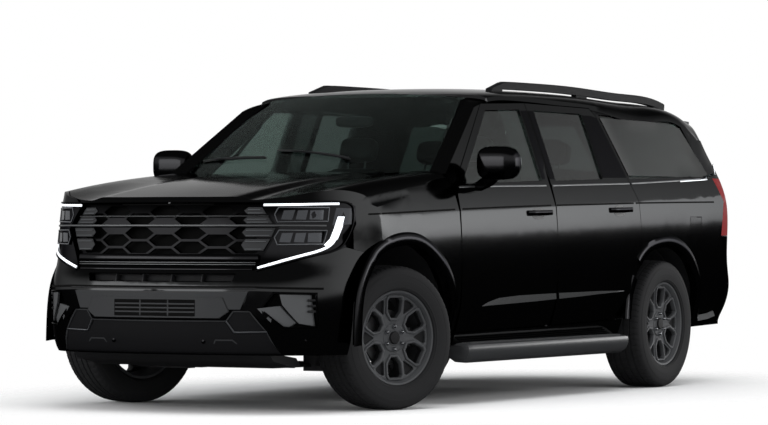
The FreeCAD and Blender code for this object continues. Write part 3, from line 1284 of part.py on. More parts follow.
def make_front_structure():
    """Radiator support and the inner wings that carry fenders, hood and lamps."""
    thick = size.sheet
    wall_x = SUPPORT_SHARE * size.wheelbase
    top = APRON_TOP_SHARE * size.roof_height
    base = APRON_BASE_SHARE * size.roof_height
    y0, y1 = size.apron_half, size.apron_half + thick
    apron = block(-size.bulkhead + size.seat_gap, wall_x, y0, y1, base, top)
    shelf_high = SHELF_SHARE * size.roof_height
    shelf = block(-size.bulkhead + size.seat_gap, wall_x, y0, FAR, shelf_high - thick, shelf_high)
    reach = nose(LAMP_DEPTH_SHARE * size.half_width * 1.2)
    shelf = shelf.common(sides(size.panel + size.seat_gap)).common(reach)
    shelf = shelf.cut(lamp_hole)
    tower = block(-size.bulkhead + size.seat_gap, wall_x, y0, y1, base, shelf_high)
    arch = side_outline(FRONT_ARCH_SHARES)
    liner = prism(inset(arch, -thick / 2), "XZ", y1, FAR).cut(front_arch)
    floor_cut = block(-LONG, LONG, -FAR, FAR, LINER_BASE_SHARE * size.roof_height, HIGH)
    liner = liner.common(floor_cut).common(sides(size.frame_depth / 2)).common(reach)
    liner = liner.cut(block(-LONG, -size.bulkhead + size.seat_gap, -FAR, FAR, 0, HIGH))
    frame_face = FRAME_SHARES[0][0] * size.wheelbase + size.fit_gap
    outer = block(-LONG, frame_face, y1, FAR, 0, HIGH)
    side = tower.fuse([shelf.cut(outer), liner.cut(outer)]).cut(front_sweep)
    frame_low = SUPPORT_BASE_SHARE * size.roof_height
    wall = block(wall_x, wall_x + thick, -y1, y1, frame_low, top)
    hole = block(wall_x, wall_x + thick, -y0 * 0.86, y0 * 0.86, frame_low + size.overrun * 2,
                 top - size.overrun)
    latch = block(wall_x - size.overrun, wall_x + thick, -size.overrun, size.overrun, top - thick, HIGH)
    latch = latch.common(hood_top(size.panel + size.seat_gap))
    return side.fuse([mirrored(side), wall.cut(hole), latch])


def make_running_boards():
    """Running boards on three brackets each from the frame."""
    top = size.board_height + size.board_thick
    y1 = size.board_half
    y0 = y1 - size.board_width
    x1 = -size.board_start
    x0 = x1 - size.board_length
    rise = size.board_thick / 2
    section = [(y0, size.board_height + rise), (y0, top + rise), (y0 + rise, top + rise),
               (y1 - rise, top), (y1, top - rise / 2), (y1, size.board_height + rise / 2),
               (y1 - rise, size.board_height)]
    board = prism(section, "YZ", x0, x1)
    frame_out = size.rail_half + size.rail_width + size.seat_gap
    brackets = []
    arm_low, arm_high = [share * size.roof_height for share in BOARD_ARM_SHARES]
    arm = [(frame_out, arm_low), (frame_out, arm_high), (y0 + rise, top), (y0 + rise, top - rise)]
    for share in BRACKET_SHARES:
        x = x0 + (x1 - x0) * share
        brackets.append(prism(arm, "YZ", x - size.overrun, x + size.overrun))
    return both_sides(board.fuse(brackets))


# Cabin
def seat(x, y, wide, base, cushion, back_high, depth):
    """A seat as one solid: plinth, cushion, raked back and head restraint."""
    thick = size.cushion_thick
    back = size.back_thick
    y0, y1 = y - wide / 2, y + wide / 2
    plinth = block(x - depth * 0.85, x - depth * 0.2, y0 + thick * 0.4, y1 - thick * 0.4, base,
                   cushion - thick)
    pad = prism([(x, cushion - thick * 0.5), (x - thick * 0.3, cushion),
                 (x - depth, cushion - thick * 0.2), (x - depth, cushion - thick),
                 (x - thick * 0.2, cushion - thick)], "XZ", y0, y1)
    lean = (back_high - cushion) * 0.3
    rest = prism([(x - depth + back * 0.4, cushion - thick * 0.4),
                  (x - depth - lean + back * 0.2, back_high),
                  (x - depth - lean - back * 0.6, back_high),
                  (x - depth - back * 0.8, cushion - thick)], "XZ", y0, y1)
    head_x = x - depth - lean - back * 0.2
    head = block(head_x - back * 0.5, head_x + back * 0.45, y - wide * 0.26, y + wide * 0.26,
                 back_high - thick * 0.05, back_high + thick * 1.35)
    return plinth.fuse([pad, rest, head])


def make_seats():
    """Two front seats, a middle row of two and a rear bench on the raised floor."""
    base = size.floor_height + size.sheet + size.seat_gap
    high = size.rear_floor + size.sheet + size.seat_gap
    front = []
    middle = []
    for side in (-1, 1):
        y = side * size.seat_centre
        front.append(seat(FRONT_SEAT_SHARE * size.wheelbase, y, size.seat_width, base,
                          SEAT_LEVEL_SHARE * size.roof_height, SEAT_TOP_SHARE * size.roof_height,
                          size.seat_width))
        middle.append(seat(MIDDLE_SEAT_SHARE * size.wheelbase, y, size.seat_width * 1.05, base,
                           SEAT_LEVEL_SHARE * size.roof_height, SEAT_TOP_SHARE * size.roof_height,
                           size.seat_width * 0.98))
    rear = seat(REAR_SEAT_SHARE * size.wheelbase, 0, size.tub_half * 1.9, high,
                REAR_LEVEL_SHARE * size.roof_height, SEAT_TOP_SHARE * size.roof_height,
                size.seat_width * 0.9)
    place_node("front_seats", Part.makeCompound([s.Solids[0] for s in front]))
    place_node("middle_seats", Part.makeCompound([s.Solids[0] for s in middle]))
    place_node("rear_seats", rear)


def make_dashboard():
    """Dashboard with its steering column and the console between the front seats."""
    dash = across_body(side_outline(DASH_SHARES), "XZ", size.half_width)
    dash = dash.common(sides(size.frame_depth + size.seat_gap))
    console = across_body(side_outline(CONSOLE_SHARES), "XZ", CONSOLE_HALF_SHARE * size.half_width)
    foot = -size.bulkhead - size.sheet
    hub = steering_hub()
    slope = steering_slope()
    tube = rod(hub - slope * size.wheel_dish * 6, hub - slope * (size.wheel_dish / 2 + size.seat_gap),
               size.wheel_dish)
    dash = dash.cut(block(foot - size.seat_gap, 0, -FAR, FAR, 0, HIGH))
    place_node("dashboard", dash.fuse([console, tube]).cut(tunnel(size.sheet + size.seat_gap)))


def steering_hub():
    """Centre of the steering wheel."""
    return vec(STEERING_SHARES[0] * size.wheelbase, size.seat_centre,
               STEERING_SHARES[1] * size.roof_height)


def steering_slope():
    """Direction from the column to the driver."""
    tilt = math.radians(COLUMN_TILT_SHARE * 360)
    return vec(-math.cos(tilt), 0, math.sin(tilt))


def make_steering_wheel():
    """Steering wheel with three spokes, turned as the parked front wheels turn it."""
    corners = [(math.cos(i * RING_STEP) * size.wheel_ring, math.sin(i * RING_STEP) * size.wheel_ring)
               for i in range(RING_CORNERS)]
    grip = size.wheel_grip
    ring = prism(inset(corners, -grip), "XY", -grip, grip).cut(
        prism(inset(corners, grip), "XY", -grip, grip))
    boss = Part.makeCylinder(size.wheel_dish * 1.6, size.wheel_dish, vec(0, 0, -size.wheel_dish / 2))
    spokes = []
    for turn in SPOKE_SHARES:
        bar = block(0, size.wheel_ring, -size.wheel_grip, size.wheel_grip, -size.wheel_grip / 2,
                    size.wheel_grip / 2)
        bar.rotate(vec(0, 0, 0), vec(0, 0, 1), turn * 360)
        spokes.append(bar)
    feature = place_node("steering_wheel", boss.fuse([ring] + spokes))
    hub = steering_hub()
    aim = FreeCAD.Rotation(vec(0, 0, 1), steering_slope())
    spin = FreeCAD.Rotation(vec(0, 0, 1), STEER_SHARE * 360 * STEERING_RATIO)
    feature.Placement = FreeCAD.Placement(hub + vec(AXLE_TO_MIDDLE, 0, 0), aim.multiply(spin))


def make_mirror():
    """Door mirror on its arm."""
    y = size.half_width + size.mirror_reach
    x = MIRROR_SHARES[0] * size.wheelbase
    z = MIRROR_SHARES[1] * size.roof_height
    w, tall, deep = size.mirror_width / 2, size.mirror_height / 2, size.mirror_thick
    bevel = deep / 3
    shell = prism([(x - deep / 2, y - w), (x + deep / 4, y - w), (x + deep / 2, y - w / 2),
                   (x + deep / 3, y + w - bevel), (x - deep / 6, y + w), (x - deep / 2, y + w)],
                  "XY", z - tall, z + tall)
    arm = prism(front_outline(MIRROR_ARM_SHARES), "YZ", x - deep / 2, x + deep / 6)
    return shell.fuse(arm.cut(sides(-size.seat_gap)))


place_node("hood", make_hood())
place_node("front_fenders", make_fenders())
place_node("front_bumper", make_front_bumper())
place_node("skid_panel", make_skid_panel())
place_node("grille", make_grille())
place_node("headlamps", make_headlamps())
place_node("side_frames", make_side_frames())
place_node("quarter_panels", make_quarter_panels())
place_node("fuel_door", make_fuel_door())
place_node("tail_lamps", make_tail_lamps())
place_node("rear_bumper", make_rear_bumper())
place_node("roof_panel", make_roof())
place_node("roof_rails", make_roof_rails())
place_node("fixed_glass", make_fixed_glass())
place_node("liftgate", make_liftgate())
place_node("liftgate_glass", make_liftgate_glass())
place_node("tailgate", make_tailgate())
place_node("front_structure", make_front_structure())
place_node("floor_pan", make_floor())
place_node("running_boards", make_running_boards())
front = make_door(front_door, FRONT_CORE_SHARES, front_window, front_hinge_x, rear_sweep)
rear = make_door(rear_door, REAR_CORE_SHARES, rear_window, rear_hinge_x, None)
mirror = make_mirror()
for end, door, window in (("front", front, front_window), ("rear", rear, rear_window)):
    pane = make_glass(window)
    place_node(f"door_{end}_left", door)
    place_node(f"door_{end}_right", mirrored(door))
    place_node(f"glass_{end}_left", pane)
    place_node(f"glass_{end}_right", mirrored(pane))
place_node("mirror_left", mirror)
place_node("mirror_right", mirrored(mirror))
make_frame()
make_front_suspension()
make_rear_suspension()
make_driveline()
make_exhaust()
for side, word in ((1, "left"), (-1, "right")):
    make_knuckle(side)
    for front_end, end in ((True, "front"), (False, "rear")):
        place = wheel_place(side, front_end)
        make_tyre(f"tyre_{end}_{word}", place)
        make_wheel(f"wheel_{end}_{word}", place)
make_seats()
make_dashboard()
make_steering_wheel()


def bound_box(name, corner, extent):
    """A box whose corner and size are expressions on the sheet."""
    box = doc.addObject("Part::Box", name)
    for axis, text in zip("xyz", corner):
        box.setExpression(f".Placement.Base.{axis}", text)
    for side_name, text in zip(("Length", "Width", "Height"), extent):
        box.setExpression(side_name, text)
    return box


middle_text = "(sizes.rear_overhang + sizes.wheelbase - sizes.front_overhang) / 2"
NODES["engine_block"] = bound_box(
    "engine_block",
    (f"{middle_text} + {ENGINE_REAR_SHARE} * sizes.wheelbase", "-sizes.engine_width / 2",
     "sizes.engine_base"),
    ("sizes.engine_length", "sizes.engine_width", "sizes.engine_height"))
NODES["fuel_tank"] = bound_box(
    "fuel_tank",
    (f"{middle_text} + {TANK_REAR_SHARE} * sizes.wheelbase", "sizes.shaft_radius * 1.5",
     "sizes.floor_height - sizes.tank_height - sizes.seat_gap"),
    ("sizes.tank_length", "sizes.tank_width", "sizes.tank_height"))
doc.recompute()

os.makedirs("parts", exist_ok=True)
for item in doc.Objects:
    if {"Invalid", "Error"} & set(item.State):
        raise RuntimeError(f"{item.Name} did not compute: {item.State}")
for name, item in NODES.items():
    if item.Shape.isNull() or not item.Shape.isValid() or item.Shape.Volume <= 0:
        raise RuntimeError(f"{name} is not a valid solid")
for name, item in NODES.items():
    item.Shape.exportStep(os.path.join("parts", name + ".step"))
print(len(NODES), "nodes written")
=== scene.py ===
"""Looks of the full-size suv: paint, glass, lamps, grille, wheels, cabin and studio.

Every visual piece is in the frame's own metres: +X forward, +Y to the vehicle's left,
+Z up, ground at z = 0. The CAD nodes are the frame and are never moved.
"""
import json
import logging
import math
from dataclasses import dataclass
from enum import Enum

import bmesh
import bpy
import numpy as np
from mathutils import Matrix, Vector
from mathutils.bvhtree import BVHTree


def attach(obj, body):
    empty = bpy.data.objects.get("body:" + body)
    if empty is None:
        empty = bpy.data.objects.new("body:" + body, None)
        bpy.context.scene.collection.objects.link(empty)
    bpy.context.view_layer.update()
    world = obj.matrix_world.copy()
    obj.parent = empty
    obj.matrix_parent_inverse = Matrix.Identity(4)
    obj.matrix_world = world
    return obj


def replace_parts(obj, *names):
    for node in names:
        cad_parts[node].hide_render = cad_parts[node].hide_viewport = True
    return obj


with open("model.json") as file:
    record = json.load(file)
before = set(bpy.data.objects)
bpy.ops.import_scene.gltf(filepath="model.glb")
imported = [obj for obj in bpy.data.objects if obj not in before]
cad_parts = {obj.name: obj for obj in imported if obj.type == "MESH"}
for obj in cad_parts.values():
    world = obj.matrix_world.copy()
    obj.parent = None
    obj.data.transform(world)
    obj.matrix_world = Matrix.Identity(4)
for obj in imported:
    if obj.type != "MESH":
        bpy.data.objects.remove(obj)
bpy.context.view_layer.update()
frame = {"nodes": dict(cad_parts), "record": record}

log = logging.getLogger("suv")

# Driving dimensions in metres, as in the part's source
WHEELBASE = 3.343
FRONT_OVERHANG = 1.039
REAR_OVERHANG = 1.258
HALF_WIDTH = 1.015
AXLE_X = (REAR_OVERHANG + WHEELBASE - FRONT_OVERHANG) / 2
TYRE_RADIUS = 0.401
STEER_AT_REST = math.radians(-19.0)

# Edges sharper than this many degrees stay sharp, on plain pieces and on trim
PLAIN_ANGLE = 32.0
TRIM_ANGLE = 40

# Fitted camera: place, heading, climb and lens
CAMERA_PLACE = (19.4874, 11.0115, 1.0239)
CAMERA_HEADING = math.radians(29.858)
CAMERA_CLIMB = math.radians(0.2014)
CAMERA_LENS = 171.9
SENSOR_WIDTH = 36.0


class Slot(Enum):
    """Material slots of the record."""

    PAINT = "paint"
    GLASS = "glass"
    GLOSS = "gloss"
    TRIM = "trim"
    LAMP = "lamp"
    TAIL_LAMP = "tail_lamp"
    TYRE = "tyre"
    WHEEL = "wheel"
    CAST = "cast"
    FRAME = "frame"
    UNDERBODY = "underbody"
    LEATHER = "leather"


@dataclass(frozen=True)
class Finish:
    """What a shader needs for one surface."""

    colour: tuple
    roughness: float = 0.5
    metallic: float = 0.0
    coat: float = 0.0
    ior: float = 1.45
    transmission: float = 0.0
    emission: float = 0.0
    bump: float = 0.0
    grain: float = 300.0
    edge: float = 1.0


class Look(Enum):
    """Every surface of the vehicle."""

    PAINT = Finish((0.060, 0.061, 0.062), 0.09, 1.0, edge=0.42)
    SCREEN = Finish((0.28, 0.34, 0.32), 0.0, ior=1.16, transmission=1.0)
    GLASS = Finish((0.20, 0.24, 0.225), 0.0, ior=1.3, transmission=1.0)
    DARK_GLASS = Finish((0.11, 0.13, 0.125), 0.0, ior=1.3, transmission=1.0)
    GLOSS_BLACK = Finish((0.035, 0.035, 0.037), 0.12, 1.0, edge=0.4)
    WEB = Finish((0.017, 0.017, 0.018), 0.2, 1.0, edge=0.3)
    SATIN_BLACK = Finish((0.012, 0.012, 0.013), 0.38)
    BELT = Finish((0.20, 0.205, 0.21), 0.35, 0.9)
    BOARD = Finish((0.030, 0.031, 0.033), 0.45, 0.0, 0.3)
    TRIM = Finish((0.022, 0.023, 0.025), 0.6, bump=0.12, grain=900.0)
    SKID = Finish((0.006, 0.006, 0.007), 0.6, ior=1.3, bump=0.1, grain=900.0)
    FOG_GREY = Finish((0.075, 0.077, 0.080), 0.45)
    # Near-black matte that paints shade: shadow gaps, the crease under the windows and the dark behind
    # openings
    GROOVE = Finish((0.001, 0.001, 0.001), 0.9)
    PANEL_GREY = Finish((0.028, 0.029, 0.031), 0.45)
    GREY_TRIM = Finish((0.10, 0.105, 0.11), 0.45)
    BRIGHT = Finish((0.55, 0.57, 0.6), 0.14, 1.0)
    SATIN_METAL = Finish((0.30, 0.31, 0.33), 0.3, 1.0)
    CHROME = Finish((0.75, 0.77, 0.8), 0.06, 1.0)
    WHEEL = Finish((0.075, 0.077, 0.081), 0.42, 0.35)
    WHEEL_DARK = Finish((0.012, 0.012, 0.013), 0.5, 0.2)
    DISC = Finish((0.38, 0.38, 0.39), 0.35, 0.9)
    TYRE = Finish((0.014, 0.014, 0.015), 0.72, bump=0.06, grain=700.0)
    LAMP_WHITE = Finish((0.85, 0.88, 0.92), 0.2, emission=0.9)
    LAMP_LENS = Finish((0.12, 0.125, 0.135), 0.2, 0.9)
    LAMP_DARK = Finish((0.030, 0.030, 0.032), 0.06, 1.0, edge=0.4)
    MARKER = Finish((0.020, 0.022, 0.028), 0.15, 0.0, 0.4)
    TAIL_RED = Finish((0.20, 0.002, 0.003), 0.35, 0.0, ior=1.1)
    CAST = Finish((0.05, 0.05, 0.052), 0.6, 0.4)
    FRAME = Finish((0.012, 0.012, 0.013), 0.5)
    UNDERBODY = Finish((0.010, 0.010, 0.011), 0.6)
    LEATHER = Finish((0.015, 0.015, 0.017), 0.42, bump=0.1, grain=500.0)
    CABIN = Finish((0.02, 0.02, 0.022), 0.6, bump=0.08, grain=500.0)


class Paintbox:
    """Makes each material once."""

    def __init__(self) -> None:
        """Start with no material made."""
        self._made = {}

    def get(self, look: Look) -> bpy.types.Material:
        """The material of a look.

        Args:
            look: the surface wanted.
        Returns:
            A Blender material with one Principled shader.
        """
        if look in self._made:
            return self._made[look]
        finish = look.value
        material = bpy.data.materials.new("suv_" + look.name.lower())
        material.use_nodes = True
        tree = material.node_tree
        shader = tree.nodes["Principled BSDF"]
        shader.inputs["Base Color"].default_value = (*finish.colour, 1.0)
        shader.inputs["Roughness"].default_value = finish.roughness
        shader.inputs["Metallic"].default_value = finish.metallic
        shader.inputs["IOR"].default_value = finish.ior
        shader.inputs["Coat Weight"].default_value = finish.coat
        shader.inputs["Specular Tint"].default_value = (finish.edge, finish.edge, finish.edge, 1.0)
        shader.inputs["Coat Roughness"].default_value = 0.03
        shader.inputs["Transmission Weight"].default_value = finish.transmission
        if finish.emission:
            shader.inputs["Emission Color"].default_value = (*finish.colour, 1.0)
            shader.inputs["Emission Strength"].default_value = finish.emission
        if finish.bump:
            place = tree.nodes.new("ShaderNodeTexCoord")
            noise = tree.nodes.new("ShaderNodeTexNoise")
            noise.inputs["Scale"].default_value = finish.grain
            bump = tree.nodes.new("ShaderNodeBump")
            bump.inputs["Strength"].default_value = finish.bump
            bump.inputs["Distance"].default_value = 0.001
            tree.links.new(place.outputs["Object"], noise.inputs["Vector"])
            tree.links.new(noise.outputs["Fac"], bump.inputs["Height"])
            tree.links.new(bump.outputs["Normal"], shader.inputs["Normal"])
        self._made[look] = material
        return material


paintbox = Paintbox()


def body_of_node(node: str) -> str:
    """The CAD body that a node belongs to."""
    for body, members in frame["record"]["behaviour"]["bodies"].items():
        if node in members:
            return body
    raise KeyError(node)


def finish_piece(mesh: bpy.types.Mesh, name: str, look: Look, body: str, angle: float = PLAIN_ANGLE,
                 extra: tuple = ()) -> bpy.types.Object:
    """Put a finished mesh in the scene.

    Args:
        mesh: the mesh, in the frame's metres.
        name: name of the piece.
        look: its surface.
        body: the CAD body it moves with.
        angle: edges sharper than this many degrees stay sharp.
        extra: further looks, for faces with a higher material index.
    Returns:
        The new object.
    """
    mesh.name = name
    mesh.materials.clear()
    for each in (look, *extra):
        mesh.materials.append(paintbox.get(each))
    mesh.shade_smooth()
    mesh.set_sharp_from_angle(angle=math.radians(angle))
    piece = bpy.data.objects.new(name, mesh)
    bpy.context.scene.collection.objects.link(piece)
    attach(piece, body)
    return piece


def mesh_from(points: np.ndarray, faces: list) -> bpy.types.Mesh:
    """A mesh from an array of points and a list of faces."""
    mesh = bpy.data.meshes.new("piece")
    mesh.from_pydata([tuple(p) for p in np.asarray(points, float)], [], [tuple(f) for f in faces])
    mesh.validate()
    return mesh


def outward(mesh: bpy.types.Mesh) -> bpy.types.Mesh:
    """Merge doubles and turn every face outward."""
    work = bmesh.new()
    work.from_mesh(mesh)
    bmesh.ops.remove_doubles(work, verts=work.verts, dist=1e-6)
    bmesh.ops.recalc_face_normals(work, faces=work.faces)
    work.to_mesh(mesh)
    work.free()
    return mesh


def join(meshes: list) -> bpy.types.Mesh:
    """One mesh from several."""
    work = bmesh.new()
    for mesh in meshes:
        work.from_mesh(mesh)
    joined = bpy.data.meshes.new("joined")
    work.to_mesh(joined)
    work.free()
    return joined


def grid_faces(rows: int, columns: int, wrap_rows: bool, wrap_columns: bool) -> list:
    """Quads of a grid of points, closed along either way."""
    faces = []
    for i in range(rows if wrap_rows else rows - 1):
        for j in range(columns if wrap_columns else columns - 1):
            a, b = i * columns + j, i * columns + (j + 1) % columns
            c, d = ((i + 1) % rows) * columns + (j + 1) % columns, ((i + 1) % rows) * columns + j
            faces.append((a, b, c, d))
    return faces


def revolved(profile: list, segments: int, radius_change=None) -> bpy.types.Mesh:
    """A closed section turned about the Y axis.

    Args:
        profile: (along the axle, radius) pairs, in order round the section.
        segments: steps round the circle.
        radius_change: function of (angle, along, radius) arrays, added to the radius.
    Returns:
        A closed mesh about the origin.
    """
    section = np.array(profile, float)
    angle = np.linspace(0, 2 * math.pi, segments, endpoint=False)[:, None]
    along = np.repeat(section[None, :, 0], segments, 0)
    radius = np.repeat(section[None, :, 1], segments, 0)
    if radius_change is not None:
        radius = radius + radius_change(angle + 0 * radius, along, radius)
    points = np.stack([np.cos(angle) * radius, along, np.sin(angle) * radius], -1)
    mesh = mesh_from(points.reshape(-1, 3), grid_faces(segments, len(section), True, True))
    return outward(mesh)


def prism(outline: list, place, low: float, high: float) -> bpy.types.Mesh:
    """A polygon given thickness, its corners set by a function of (a, b, height)."""
    count = len(outline)
    points = [place(a, b, low) for a, b in outline] + [place(a, b, high) for a, b in outline]
    faces = [tuple(range(count)), tuple(range(2 * count - 1, count - 1, -1))]
    faces += [(i, (i + 1) % count, count + (i + 1) % count, count + i) for i in range(count)]
    return outward(mesh_from(np.array(points), faces))


def box_mesh(low: tuple, high: tuple, bevel: float = 0.0, segments: int = 2) -> bpy.types.Mesh:
    """A box between two corners, with rounded edges."""
    work = bmesh.new()
    bmesh.ops.create_cube(work, size=1.0)
    size = Vector(high) - Vector(low)
    middle = (Vector(high) + Vector(low)) / 2
    bmesh.ops.transform(work, matrix=Matrix.Translation(middle) @ Matrix.Diagonal((*size, 1)),
                        verts=work.verts)
    if bevel:
        bmesh.ops.bevel(work, geom=list(work.edges), offset=bevel, segments=segments, profile=0.5,
                        affect="EDGES", clamp_overlap=True)
    mesh = bpy.data.meshes.new("box")
    work.to_mesh(mesh)
    work.free()
    return mesh


def tube(path: np.ndarray, radius: float, sides: int = 10, closed: bool = False) -> bpy.types.Mesh:
    """A round bar along a path of points."""
    path = np.asarray(path, float)
    if closed:
        tangent = np.roll(path, -1, 0) - np.roll(path, 1, 0)
    else:
        tangent = np.gradient(path, axis=0)
    tangent /= np.linalg.norm(tangent, axis=1)[:, None]
    up = np.array([0.0, 0.0, 1.0])
    if abs(tangent[:, 2]).max() > 0.95:
        up = np.array([0.3, 1.0, 0.1])
    side = np.cross(tangent, up)
    side /= np.linalg.norm(side, axis=1)[:, None]
    over = np.cross(side, tangent)
    angle = np.linspace(0, 2 * math.pi, sides, endpoint=False)
    ring = (np.cos(angle)[None, :, None] * side[:, None, :]
            + np.sin(angle)[None, :, None] * over[:, None, :]) * radius
    points = (path[:, None, :] + ring).reshape(-1, 3)
    faces = grid_faces(len(path), sides, closed, True)
    if not closed:
        faces.append(tuple(range(sides)))
        faces.append(tuple(range((len(path) - 1) * sides, len(path) * sides)))
    return outward(mesh_from(points, faces))


def strip(path: np.ndarray, across: tuple, width: float, out: tuple, thick: float) -> bpy.types.Mesh:
    """A bar of rectangular section along a path.

    Args:
        path: points of its middle line.
        across: direction of its width, or one direction a point.
        width: its width.
        out: direction of its thickness, or one direction a point.
        thick: its thickness.
    Returns:
        A closed mesh.
    """
    path = np.asarray(path, float)
    across = np.broadcast_to(np.asarray(across, float), path.shape)
    out = np.broadcast_to(np.asarray(out, float), path.shape)
    corners = [(-0.5, -0.5), (0.5, -0.5), (0.5, 0.3), (0.3, 0.5), (-0.3, 0.5), (-0.5, 0.3)]
    rows = np.stack([path + across * a * width + out * b * thick for a, b in corners], 1)
    faces = grid_faces(len(path), len(corners), False, True)
    faces.append(tuple(range(len(corners))))
    faces.append(tuple(range((len(path) - 1) * len(corners), len(path) * len(corners))))
    return outward(mesh_from(rows.reshape(-1, 3), faces))


def smooth_copy(node: str) -> bpy.types.Mesh:
    """The CAD node's mesh with its doubles merged."""
    mesh = frame["nodes"][node].data.copy()
    work = bmesh.new()
    work.from_mesh(mesh)
    bmesh.ops.remove_doubles(work, verts=work.verts, dist=2e-5)
    bmesh.ops.dissolve_degenerate(work, edges=work.edges, dist=1e-6)
    work.to_mesh(mesh)
    work.free()
    for name in [a.name for a in mesh.attributes if a.name == "custom_normal"]:
        mesh.attributes.remove(mesh.attributes[name])
    return mesh


def dress(node: str, look: Look, angle: float = 25.0) -> bpy.types.Object:
    """Show a CAD node's own shape with smooth shading.

    Args:
        node: the CAD node.
        look: its surface.
        angle: edges sharper than this many degrees stay sharp.
    Returns:
        The piece that stands for it.
    """
    piece = finish_piece(smooth_copy(node), node + "_look", look, body_of_node(node), angle)
    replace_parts(piece, node)
    return piece


class CadSurface:
    """Finds points on the outside of chosen CAD nodes."""

    def __init__(self, nodes: list) -> None:
        """Collect the facets of the nodes."""
        points, faces = [], []
        for node in nodes:
            mesh = frame["nodes"][node].data
            start = len(points)
            points += [tuple(v.co) for v in mesh.vertices]
            faces += [tuple(start + i for i in p.vertices) for p in mesh.polygons]
        self._tree = BVHTree.FromPolygons(points, faces)

    def hit(self, start: tuple, way: tuple) -> Vector:
        """First point met from a start along a direction, or None."""
        return self._tree.ray_cast(Vector(start), Vector(way))[0]

    def side(self, x: float, z: float, sign: int, lift: float = 0.0) -> tuple:
        """Point on the body side at a length and height."""
        place = self.hit((x, sign * 3.0, z), (0, -sign, 0))
        y = place.y if place is not None else sign * HALF_WIDTH
        return (x, y + sign * lift, z)

    def rear(self, y: float, z: float, lift: float = 0.0) -> tuple:
        """Point on the tail at a width and height."""
        place = self.hit((-5.0, y, z), (1, 0, 0))
        x = place.x if place is not None else -REAR_OVERHANG
        return (x - lift, y, z)


# Surfaces that details follow
NOSE_PROFILE = (
    (0.200, 0.079), (0.330, 0.054), (0.400, 0.017), (0.510, 0.0), (0.671, 0.002), (0.745, 0.018),
    (0.800, 0.041), (1.013, 0.072), (1.137, 0.095), (1.240, 0.124), (1.330, 0.160),
)
NOSE_FLAT = AXLE_X + 1.0355
NOSE_BOW = 0.231
NOSE_CORNER = 0.470
NOSE_CORNER_POWER = 9


def nose_point(y: float, z: float, depth: float = 0.0) -> tuple:
    """Point on the nose at a width and height, moved rearward by depth."""
    heights = [row[0] for row in NOSE_PROFILE]
    setback = float(np.interp(z, heights, [row[1] for row in NOSE_PROFILE]))
    share = abs(y) / HALF_WIDTH
    drop = NOSE_BOW * share ** 2 + NOSE_CORNER * share ** NOSE_CORNER_POWER
    return (AXLE_X + FRONT_OVERHANG - setback - drop - depth, y, z)


def nose_normal(y: float, z: float) -> np.ndarray:
    """Outward direction of the nose."""
    step = 0.005
    along = np.subtract(nose_point(y + step, z), nose_point(y - step, z))
    up = np.subtract(nose_point(y, z + step), nose_point(y, z - step))
    normal = np.cross(along, up)
    return normal / np.linalg.norm(normal)


def smooth_line(points: list, steps: int = 8) -> list:
    """Points of a smooth curve through the given ones."""
    rows = [np.array(p, float) for p in points]
    rows = [2 * rows[0] - rows[1]] + rows + [2 * rows[-1] - rows[-2]]
    line = []
    for a, b, c, d in zip(rows, rows[1:], rows[2:], rows[3:]):
        for i in range(steps):
            t = i / steps
            line.append(tuple(0.5 * (2 * b + (c - a) * t + (2 * a - 5 * b + 4 * c - d) * t ** 2
                                     + (3 * b - a - 3 * c + d) * t ** 3)))
    line.append(tuple(rows[-2]))
    return line


def nose_strip(points: list, width: float, thick: float, lift: float = 0.0,
               steps: int = 12) -> bpy.types.Mesh:
    """A bar that follows the nose through (width, height) points."""
    track = []
    for (y0, z0), (y1, z1) in zip(points, points[1:]):
        for i in range(steps):
            share = i / steps
            track.append((y0 + (y1 - y0) * share, z0 + (z1 - z0) * share))
    track.append(points[-1])
    normals = np.array([nose_normal(y, z) for y, z in track])
    path = np.array([nose_point(y, z) for y, z in track]) + normals * (lift + thick / 2)
    along = np.gradient(path, axis=0)
    along /= np.linalg.norm(along, axis=1)[:, None]
    return strip(path, np.cross(normals, along), width, normals, thick)


def panel(outline: list, place, thick: float, cell: float = 0.04) -> bpy.types.Mesh:
    """A plate that follows a surface.

    Args:
        outline: corners in the surface's own two coordinates.
        place: function of (a, b, depth) that gives a point.
        thick: thickness, inward.
        cell: largest step of its mesh.
    Returns:
        A closed mesh.
    """
    work = bmesh.new()
    corners = [work.verts.new((a, b, 0.0)) for a, b in outline]
    work.faces.new(corners)
    low = [min(p[i] for p in outline) for i in (0, 1)]
    high = [max(p[i] for p in outline) for i in (0, 1)]
    for axis in (0, 1):
        normal = (1, 0, 0) if axis == 0 else (0, 1, 0)
        for step in range(1, int((high[axis] - low[axis]) / cell) + 1):
            spot = [0.0, 0.0, 0.0]
            spot[axis] = low[axis] + step * cell
            bmesh.ops.bisect_plane(work, geom=work.verts[:] + work.edges[:] + work.faces[:],
                                   plane_co=spot, plane_no=normal)
    work.verts.index_update()
    flat = [(v.co.x, v.co.y) for v in work.verts]
    count = len(flat)
    points = [place(a, b, 0.0) for a, b in flat] + [place(a, b, thick) for a, b in flat]
    faces = [tuple(v.index for v in f.verts) for f in work.faces]
    faces += [tuple(count + i for i in reversed(f)) for f in faces]
    for edge in work.edges:
        if len(edge.link_faces) == 1:
            a, b = edge.verts[0].index, edge.verts[1].index
            faces.append((a, b, count + b, count + a))
    work.free()
    return outward(mesh_from(np.array(points), faces))


def mirror_mesh(mesh: bpy.types.Mesh) -> bpy.types.Mesh:
    """The mesh on the other side of the vehicle."""
    other = mesh.copy()
    other.transform(Matrix.Diagonal((1, -1, 1, 1)))
    other.flip_normals()
    return other


def both(mesh: bpy.types.Mesh) -> bpy.types.Mesh:
    """The mesh and its mirror image as one."""
    return join([mesh, mirror_mesh(mesh)])


